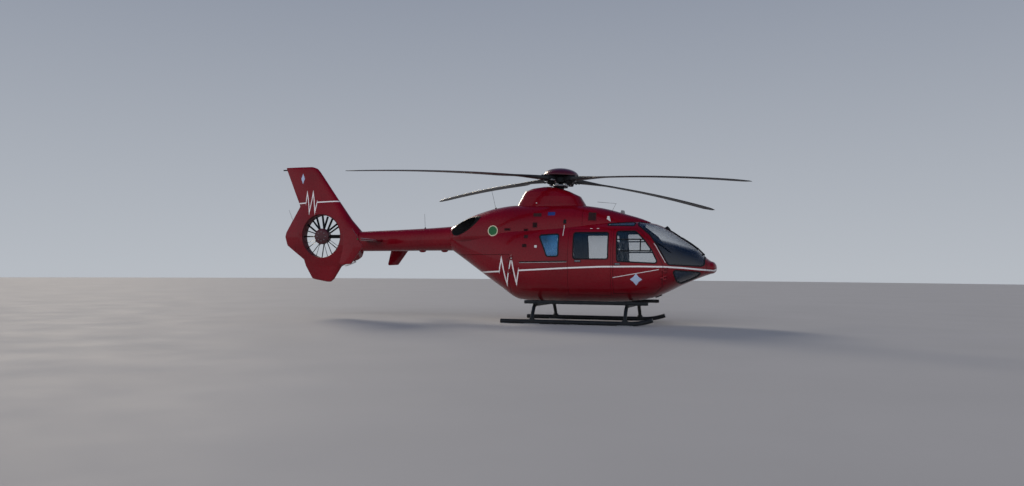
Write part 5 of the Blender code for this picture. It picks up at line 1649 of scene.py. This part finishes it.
ROUNDEL, ROUNDEL_FIELD = 0.118, 0.098
ROUNDEL_PLACE = (-1.371, 1.975)
STAR, STAR_WAIST = 0.125, 0.60           # radius of a star's points, and of its inner corners as a share
LOZENGE = ((0.0, -0.130), (0.050, 0.0), (0.0, 0.130), (-0.050, 0.0))


def make_films(side_name, side):
    for name, radius, finish, lift in (("roundel_edge_", ROUNDEL, PALE_FILM, 0.0006),
                                       ("roundel_field_", ROUNDEL_FIELD, GREEN_FILM, 0.0014)):
        outline = arc(radius, radius, np.arange(0, 360, 7.5))
        film(name + side_name, outline, ROUNDEL_PLACE, FIND_HULL, side, finish, lift)
    outline = between_points(LOZENGE + LOZENGE[:1], 0.03)[:-1]
    film("fin_badge_" + side_name, outline, (-6.460, 3.310), FIND_FIN, side, PALE_BLUE_FILM)
    outline = rounded(oblong(0.080, 0.038), 0.012)
    film("blue_plate_" + side_name, outline, (-0.070, 2.335), FIND_HULL, side, BLUE_FILM)
    star = []
    for k in range(8):
        reach = STAR * (STAR_WAIST if k % 2 else 1.0)
        star.append((reach * math.sin(math.pi * k / 4), reach * math.cos(math.pi * k / 4)))
    film("door_badge_" + side_name, star, (1.783, 0.945), FIND_HULL, side, PALE_BLUE_FILM, 0.0016,
         "front_door_" + side_name)


RIVET_OUT = 0.030       # from the edge of a window
# Columns of rivets: places along X, lowest and highest Z, pitch
RIVET_COLUMNS = (
    ((REAR_JOINT - 0.03, REAR_JOINT + 0.03), 1.50, 1.90, 0.060), ((0.31,), 1.26, 1.90, 0.060),
    ((COWL_SPLIT - 0.03, COWL_SPLIT + 0.03), 2.06, 2.46, 0.050), ((-2.49, -2.56, -4.84), 1.60, 2.04, 0.045),
)


def rivet_spots(side):
    """Rivets round the windows and along the seams of one side."""
    screen = between_points(grown(WINDSCREEN[1:6], RIVET_OUT), 0.055)
    places = [(x, z) for x, z in screen if 1.86 < x < 3.06 and z > 1.27]
    for outline, pitch in ((SLIDING_DOOR_WINDOW, 0.060), (REAR_WINDOW, 0.055)):
        line = grown(outline, RIVET_OUT)
        places += between_points(line + line[:1], pitch)
    places += [(x, 2.02) for x in np.arange(-1.58, 0.30, 0.060)]
    for columns, low, high, pitch in RIVET_COLUMNS:
        places += [(x, z) for x in columns for z in np.arange(low, high, pitch)]
    return [(*on_side(x, z, side), (1, 0, 0)) for x, z in places]


def make_antennas():
    blade = plate("roof_antenna", ((1.30, 2.30), (1.44, 2.28), (1.410, 2.415), (1.350, 2.425)), -0.008, 0.008,
                  "Y", 0.004)
    small = plate("roof_antenna_small", ((-0.045, -0.045), (0.045, -0.045), (0.018, 0.064), (-0.020, 0.064)),
                  -0.006, 0.006, "Y", 0.003)
    small.data.transform(Matrix.Translation(from_above(1.145, -0.410)[0]))
    bends = [(1.150, -0.180, 2.340), (1.265, -0.180, 2.560), (0.860, -0.180, 2.600)]
    rod = tube("bent_rod_antenna", bends, 0.004)
    whips = []
    for x, y, top in ((-1.450, -0.180, (-1.550, -0.180, 2.890)), (-3.240, 0.0, (-3.260, 0.0, 2.410))):
        spot = from_above(x, y)[0]
        whips.append(turned("foot", ((0.022, -0.006), (0.020, 0.008), (0.008, 0.030)), 24,
                            Matrix.Translation(spot)))
        whips.append(tube("whip", [tuple(spot), top], 0.0030))
    whips.append(tube("whip", [(-6.735, 0.0, 2.270), (-6.760, 0.0, 2.285), (-6.880, 0.0, 2.560)], 0.0030))
    for item, finish in ((blade, TRIM), (small, WHITE_ENAMEL), (rod, HARD_ANODISED),
                         (joined("whip_antennas", whips), HARD_ANODISED)):
        fit(item, finish)


def make_wipers():
    arm_line = ((3.080, 0.120), (2.960, 0.200), (2.800, 0.235), (2.620, 0.250))
    wipers = []
    for _, side in SIDES:
        arm = [from_above(x, side * y)[0] + Vector((0, 0, 0.030)) for x, y in arm_line]
        wiped = zip(np.linspace(2.970, 2.300, 12), np.linspace(0.235, 0.265, 12))
        blade = [from_above(x, side * y) for x, y in wiped]
        pivot = Matrix.Translation(from_above(3.080, side * 0.120)[0])
        wipers += [tube("arm", arm, 0.006), band("blade", blade, 0.007, 0.020, 0.004),
                   turned("pivot", ((0.018, -0.004), (0.018, 0.024), (0.012, 0.034)), 24, pivot)]
    fit(joined("windscreen_wipers", wipers), RUBBER)
    cutter = plate("cable_cutter", ((2.250, 2.020), (2.420, 1.935), (2.405, 1.990), (2.372, 2.040),
                                    (2.335, 2.075), (2.318, 2.070)), -0.004, 0.004)
    fit(cutter, HARD_ANODISED, angle=20)


# Turned forms: radius, height above the skin
POSITION_LAMP = ((0.016, -0.010), (0.016, 0.010), (0.010, 0.019), (0.001, 0.021))
LAMP_CASE = ((0.075, 0.030), (0.076, -0.010), (0.072, -0.016))
LAMP_GLASS = ((0.071, -0.012), (0.066, -0.018), (0.04, -0.024), (0.002, -0.026))
BLISTER = ((0.045, -0.004), (0.043, 0.012), (0.034, 0.026), (0.018, 0.036), (0.002, 0.038))


def make_lamps():
    for side_name, side in SIDES:
        bulb = turned("position_lamp_" + side_name, POSITION_LAMP, 24,
                      moved(-4.330, side * 1.235, 1.785) @ swung(-90 * side, "X"))
        fit(bulb, RED_LAMP if side > 0 else GREEN_FILM)
    spot, facing = from_below(2.150)
    at = laid(spot, -facing)
    fit(turned("landing_lamp_case", LAMP_CASE, 40, at), HARD_ANODISED)
    fit(turned("landing_lamp_glass", LAMP_GLASS, 40, at), LAMP_COVER)


def make_tail_fittings():
    """Blisters under the boom and the bumper under the fin."""
    blisters = []
    for x in (-3.300, -2.750):
        form = turned("blister", BLISTER, 32)
        form.data.transform(laid(*from_below(x)) @ Matrix.Diagonal((1.9, 0.55, 1.0, 1.0)))
        blisters.append(form)
    fit(joined("boom_blisters", blisters), PLAIN_PAINT)
    at = moved(-5.16, 0, 1.216) @ swung(-20, "Y") @ moved(5.16, 0, -1.180)
    fit(block("tail_bumper", (-5.300, -0.050, 1.196), (-5.020, 0.050, 1.236), 0.014, at), WHITE_ENAMEL)


def make_fittings():
    rivets = []
    for side_name, side in SIDES:
        for make in (make_vents, make_side_fittings, make_front_door_fittings, make_films):
            make(side_name, side)
        rivets += rivet_spots(side)
    fit(scattered("skin_rivets", STUDS, rivets, PLAIN_PAINT, Radius=0.0045, Height=0.0024), PLAIN_PAINT)
    make_antennas()
    make_wipers()
    make_lamps()
    make_tail_fittings()


# Cabin

SEAT_PLACES = (("pilot_seat", 1.640), ("cabin_seat", 0.080))
SEAT_Y = 0.330
LEG_Y = 0.125
CUSHION_Z = 0.940
FLOOR_TOP = 0.640
SWELL = 0.022           # the furthest a point of a pad may move as it fills
CHANNEL = 0.007         # depth of a sewn channel, and how far from its middle it fades
SEAT_TURN = math.atan2(0.110, 0.600)     # lean of the back
SEAT_SHELL = ((0.232, -0.066), (0.236, -0.084), (-0.262, -0.084), (-0.346, 0.610), (-0.328, 0.800),
              (-0.318, 0.800), (-0.330, 0.610), (-0.248, -0.066))
CHEEK = ((0.236, -0.086), (0.240, -0.050), (-0.130, -0.040), (-0.190, 0.060), (-0.290, 0.560),
         (-0.338, 0.560), (-0.262, -0.086))
LEG = ((0.175, -0.299), (0.195, -0.292), (0.140, -0.086), (0.110, -0.086), (0.150, -0.270), (-0.150, -0.270),
       (-0.110, -0.086), (-0.140, -0.086), (-0.195, -0.292), (-0.175, -0.299))


def pad_form(name, outline, half, bevel):
    """A pad before it is filled: an outline in X and Z, given a width along Y, with soft edges."""
    return plate(name, rounded(outline, bevel, 4), -half, half, "Y", bevel)


def filled(pads):
    """Pads blown up as cloth round foam: remeshed, swollen by no more than SWELL, and subdivided."""
    ready = []
    for pad in pads:
        step = pad.modifiers.new("grid", "REMESH")
        step.mode = "VOXEL"
        step.voxel_size = 0.010
        ready.append(to_mesh(pad))
    for pad in ready:
        cloth = pad.modifiers.new("cloth", "CLOTH")
        cloth.settings.use_pressure = True
        cloth.settings.uniform_pressure_force = 4.0
        cloth.settings.effector_weights.gravity = 0.0
    for step in range(1, 21):
        SCENE.frame_set(step)
    for pad in ready:
        shape = pad.evaluated_get(bpy.context.evaluated_depsgraph_get()).data
        before, after = (np.empty(len(pad.data.vertices) * 3) for _ in range(2))
        pad.data.vertices.foreach_get("co", before)
        shape.vertices.foreach_get("co", after)
        before, after = before.reshape(-1, 3), after.reshape(-1, 3)
        way = after - before
        far = np.linalg.norm(way, axis=1, keepdims=True)
        before += way * np.minimum(1.0, SWELL / np.maximum(far, 1e-9))
        pad.modifiers.clear()
        pad.data.vertices.foreach_set("co", before.ravel())
    SCENE.frame_set(1)
    done = []
    for pad in ready:
        pad.modifiers.new("smooth", "SUBSURF").levels = 1
        pad.modifiers["smooth"].render_levels = 1
        done.append(to_mesh(pad))
    return done


def sewn(pad, lines, facing):
    """Press sewn channels into the side of a pad that faces one way: lines of axis and place."""
    normals = [v.normal.copy() for v in pad.data.vertices]
    for vertex, normal in zip(pad.data.vertices, normals):
        share = max(0.0, normal.dot(facing)) ** 0.5
        depth = sum(math.exp(-((vertex.co[axis] - place) / CHANNEL) ** 2) for axis, place in lines)
        vertex.co -= facing * (CHANNEL * share * min(depth, 1.0))


def make_pads():
    """Cushion, back and headrest of one seat, in their places round the seat's own point."""
    cushion = pad_form("cushion", ((-0.145, -0.028), (0.225, -0.028), (0.222, 0.020), (-0.145, 0.004)), 0.196,
                       0.020)
    back = pad_form("back", ((-0.030, 0.0), (0.025, 0.0), (0.016, 0.540), (-0.014, 0.540)), 0.196, 0.014)
    rest = pad_form("rest", ((-0.016, 0.0), (0.014, 0.0), (0.012, 0.120), (-0.012, 0.120)), 0.105, 0.011)
    cushion, back, rest = filled([cushion, back, rest])
    sewn(cushion, ((1, -0.110), (1, 0.110), (0, 0.050), (0, -0.060)), Vector(UP))
    sewn(back, ((1, -0.110), (1, 0.110), (2, 0.160), (2, 0.320), (2, 0.470)), Vector((1, 0, 0)))
    sewn(rest, ((2, 0.060),), Vector((1, 0, 0)))
    lean = Matrix.Rotation(-SEAT_TURN, 4, "Y")
    back.data.transform(moved(-0.185, 0, 0.075) @ lean)
    rest.data.transform(moved(-0.291, 0, 0.660) @ lean)
    return cushion, back, rest


def make_belts(find):
    """Shoulder and lap straps laid on the pads."""
    belts = []
    for y in (-0.085, 0.085):
        line = [find((0.4, y * (1 - 0.35 * k / 9), 0.580 - 0.050 * k), (-1, 0, 0)) for k in range(10)]
        belts.append(band("shoulder", line, 0.044, 0.0018, 0.0012))
        line = [find((-0.055 - 0.006 * k, math.copysign(0.045 + 0.0155 * k, y), 0.3), DOWN) for k in range(9)]
        belts.append(band("lap", line, 0.044, 0.0018, 0.0012))
    return joined("belts", belts)


def make_piping(find):
    """Piping sewn along the edge of the cushion."""
    edge = []
    for k in range(48):
        turn = 2 * math.pi * k / 48
        edge.append(find((0.040 + powered(math.cos(turn), 0.4) * 0.158,
                          powered(math.sin(turn), 0.4) * 0.180, 0.3), DOWN))
    return tube("piping", [tuple(hit[0]) for hit in edge if hit], 0.0035, 3, closed=True)


def make_seats():
    cushion, back, rest = make_pads()
    find = skin_finder(cushion, back)
    parts = [plate("shell", SEAT_SHELL, -0.212, 0.212, "Y", 0.004)]
    parts += [plate("cheek", rounded(CHEEK, 0.02, 4), y - 0.006, y + 0.006, "Y", 0.003)
              for y in (-0.222, 0.222)]
    legs = [plate("leg", LEG, y - 0.014, y + 0.014, "Y", 0.003) for y in (-LEG_Y, LEG_Y)]
    buckle = turned("buckle", ((0.034, 0.0), (0.034, 0.012), (0.028, 0.018), (0.010, 0.019)), 32,
                    laid(*find((-0.050, 0.0, 0.3), DOWN)))
    kinds = (("cushion", cushion, SEAT_CLOTH, 60), ("back", back, SEAT_CLOTH, 60),
             ("headrest", rest, SEAT_CLOTH, 60),
             ("shell", joined("shell", parts), TRIM, 35), ("legs", joined("legs", legs), HARD_ANODISED, 35),
             ("belts", make_belts(find), WEBBING, 35), ("buckle", buckle, MACHINED, 35),
             ("piping", make_piping(find), PIPING, 60))
    for place_name, x in SEAT_PLACES:
        for side_name, side in SIDES:
            seat = place_name + "_" + side_name
            for kind, item, finish, angle in kinds:
                piece = copied(item, seat + "_" + kind)
                piece.data.transform(moved(x, side * SEAT_Y, CUSHION_Z))
                if finish is SEAT_CLOTH:
                    fit(piece, finish, nodes=[seat], angle=angle)
                else:
                    fit(piece, finish, angle=angle)
    drop(*(item for kind, item, finish, angle in kinds))


# Displays: Y, width, Z, height
DISPLAYS = (*((y, 0.190, 1.335, 0.230) for y in (0.430, 0.205, -0.205, -0.430)), (0.0, 0.130, 1.350, 0.200))
PANEL_FACE = 2.1996     # X of the instrument panel's face
PANEL_COVER = ((2.292, 1.160), (2.334, 1.484), (2.926, 1.386), (3.010, 1.290), (3.050, 1.215), (2.960, 1.165))
GLARE_HOOD = ((2.196, 1.502), (2.210, 1.548), (2.300, 1.606), (2.480, 1.588), (2.720, 1.520), (2.935, 1.424),
              (2.930, 1.4205), (2.260, 1.5605), (2.2005, 1.5015))


def make_panel():
    """Displays, dials, keys and glare hood of the instrument panel, with the keys of both consoles."""
    screens, bezels, dials, needles = [], [], [], []
    for y, wide, z, tall in DISPLAYS:
        bezels.append(block("bezel", (2.186, y - wide / 2, z - tall / 2),
                            (PANEL_FACE, y + wide / 2, z + tall / 2), 0.004))
        screens.append(block("screen", (2.1845, y - wide / 2 + 0.016, z - tall / 2 + 0.022),
                             (2.1862, y + wide / 2 - 0.016, z + tall / 2 - 0.016)))
    rim = ((0.036, 0.0), (0.036, 0.008), (0.032, 0.010), (0.030, 0.004), (0.002, 0.004))
    for y, z in ((0.430, 1.165), (0.340, 1.165), (-0.340, 1.165), (-0.430, 1.165), (0.0, 1.205)):
        at = moved(PANEL_FACE, y, z) @ swung(-90, "Y")
        dials.append(turned("rim", rim, 32, at))
        needles.append(block("needle", (-0.0015, -0.004, 0.0042), (0.0015, 0.024, 0.0052), 0.0,
                             at @ Matrix.Rotation(9.0 * y + z, 4, "Z")))
    keys = [((2.1990, y, 1.245), (-1, 0, 0), (0, 1, 0)) for y in np.linspace(-0.060, 0.060, 7)]
    keys += [((2.1858, middle + y, 1.231), (-1, 0, 0), (0, 1, 0)) for middle in (-0.430, -0.205, 0.205, 0.430)
             for y in np.linspace(-0.070, 0.070, 8)]
    for xs, half, z, facing in ((np.linspace(1.985, 2.165, 8), 0.062, 1.0812, UP),
                                (np.linspace(1.290, 1.810, 12), 0.080, 2.0745, DOWN)):
        keys += [((x, y, z), facing, (1, 0, 0)) for x in xs for y in np.linspace(-half, half, 6)]
    cover, hood = (carve(plate(name, outline, -half, half), pod("form", -SKIN - 0.004), "INTERSECT")
                   for name, outline, half in (("panel_under_cover", PANEL_COVER, 0.560),
                                               ("panel_glare_hood", GLARE_HOOD, 0.580)))
    rim = tube("panel_hood_rim", [(2.208, -0.560, 1.500), (2.208, 0.560, 1.500)], 0.009)
    keys = scattered("panel_keys", BARS, keys, KEYS, Length=0.013, Width=0.011, Height=0.007)
    for item, finish in ((joined("display_bezels", bezels + dials), KEYS),
                         (joined("display_screens", screens), DISPLAY),
                         (joined("dial_needles", needles), WHITE_ENAMEL),
                         (cover, HOOD_COVER), (hood, HOOD_COVER), (keys, KEYS), (rim, PIPING)):
        fit(item, finish)
    fit(block("overhead_console", (1.240, -0.110, 2.075), (1.860, 0.110, 2.128), 0.012), TRIM)


BOOT = ((0.055, 0.0), (0.050, 0.012), (0.040, 0.020), (0.042, 0.030), (0.028, 0.044), (0.030, 0.054),
        (0.014, 0.075))
GRIP = ((0.012, -0.02), (0.020, 0.0), (0.017, 0.030), (0.021, 0.055), (0.018, 0.085), (0.026, 0.105),
        (0.022, 0.128), (0.004, 0.134))
LEVER_HANDLE = ((0.014, -0.08), (0.019, -0.06), (0.019, 0.050), (0.024, 0.060), (0.024, 0.100),
                (0.018, 0.110), (0.003, 0.112))


def make_controls(side_name, side):
    """Stick, lever and pedals in front of one seat."""
    y = side * SEAT_Y
    beside = y + 0.262
    stick = [(2.020, y, 0.642), (2.025, y, 0.760), (1.985, y, 0.900), (2.010, y, 1.010)]
    lever = [(1.400, beside, 0.700), (1.560, beside, 0.800), (1.780, beside, 0.925)]
    metal = [tube("stick", stick, 0.011, smooth=True), tube("lever", lever, 0.012, smooth=True),
             block("socket", (1.350, beside - 0.020, 0.6404), (1.450, beside + 0.020, 0.715), 0.008)]
    for foot in (y - 0.095, y + 0.095):
        metal.append(block("tread", (-0.008, foot - 0.042, -0.060), (0.004, foot + 0.042, 0.060), 0.004,
                           moved(2.155, 0, 0.850) @ swung(-24, "Y")))
        metal.append(tube("rod", [(2.160, foot, 0.850), (2.185, foot, 0.760), (2.060, foot, 0.650)], 0.008))
    soft = [turned("boot", BOOT, 32, moved(2.020, y, 0.6404)),
            turned("grip", GRIP, 28, moved(2.005, y, 0.990) @ swung(14, "Y")),
            turned("handle", LEVER_HANDLE, 28, moved(1.800, beside, 0.936) @ swung(61, "Y"))]
    fit(joined("flight_controls_" + side_name, metal), HARD_ANODISED)
    fit(joined("control_grips_" + side_name, soft), RUBBER)


def make_cockpit():
    make_panel()
    for side_name, side in SIDES:
        make_controls(side_name, side)
    rails, studs = [], []
    top = FLOOR_TOP + 0.006
    for y in (middle + out for middle in (-SEAT_Y, SEAT_Y) for out in (-LEG_Y, LEG_Y)):
        rails += [block("rail", (low, y - 0.014, FLOOR_TOP + GAP), (high, y + 0.014, top), 0.001)
                  for low, high in ((-0.420, 0.400), (1.230, 1.930))]
        studs += [((x, y, top), UP, (1, 0, 0)) for x in np.arange(-0.400, 0.400, 0.0254)]
    fit(joined("seat_rails", rails), MACHINED)
    holes = scattered("seat_rail_holes", STUDS, studs, HARD_ANODISED, Radius=0.008, Height=0.0008)
    fit(holes, HARD_ANODISED)


# Put the aircraft together

set_stage()
make_seats()
HULL_SKINS, HULL_PIECES, RUBBER_RINGS = make_hull()
make_cowls(next(item for item, name, body, cad in HULL_PIECES if cad == "aft_fuselage"))
for item, name, body, cad in HULL_PIECES:
    take_curve(item, HULL_SKINS, (HULL_PAINT, TRIM))
    item.name = name
    settle(item, body, [cad])
drop(*HULL_SKINS)
for body, rings in RUBBER_RINGS.items():
    fit(joined("window_seals_" + body, rings), RUBBER, body=body)
for make in (make_boom, make_fin, make_stabiliser, make_fan, make_stator, make_rotor, make_gear,
             make_fittings, make_cockpit):
    make()

FINISH = {"cabin_floor": FLOORING, "load_floor": MACHINED, "instrument_panel": HOOD_COVER,
          "engine_left": MACHINED, "engine_right": MACHINED, "gearbox": MACHINED}
for name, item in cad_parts.items():
    dress(item, FINISH.get(name, TRIM))
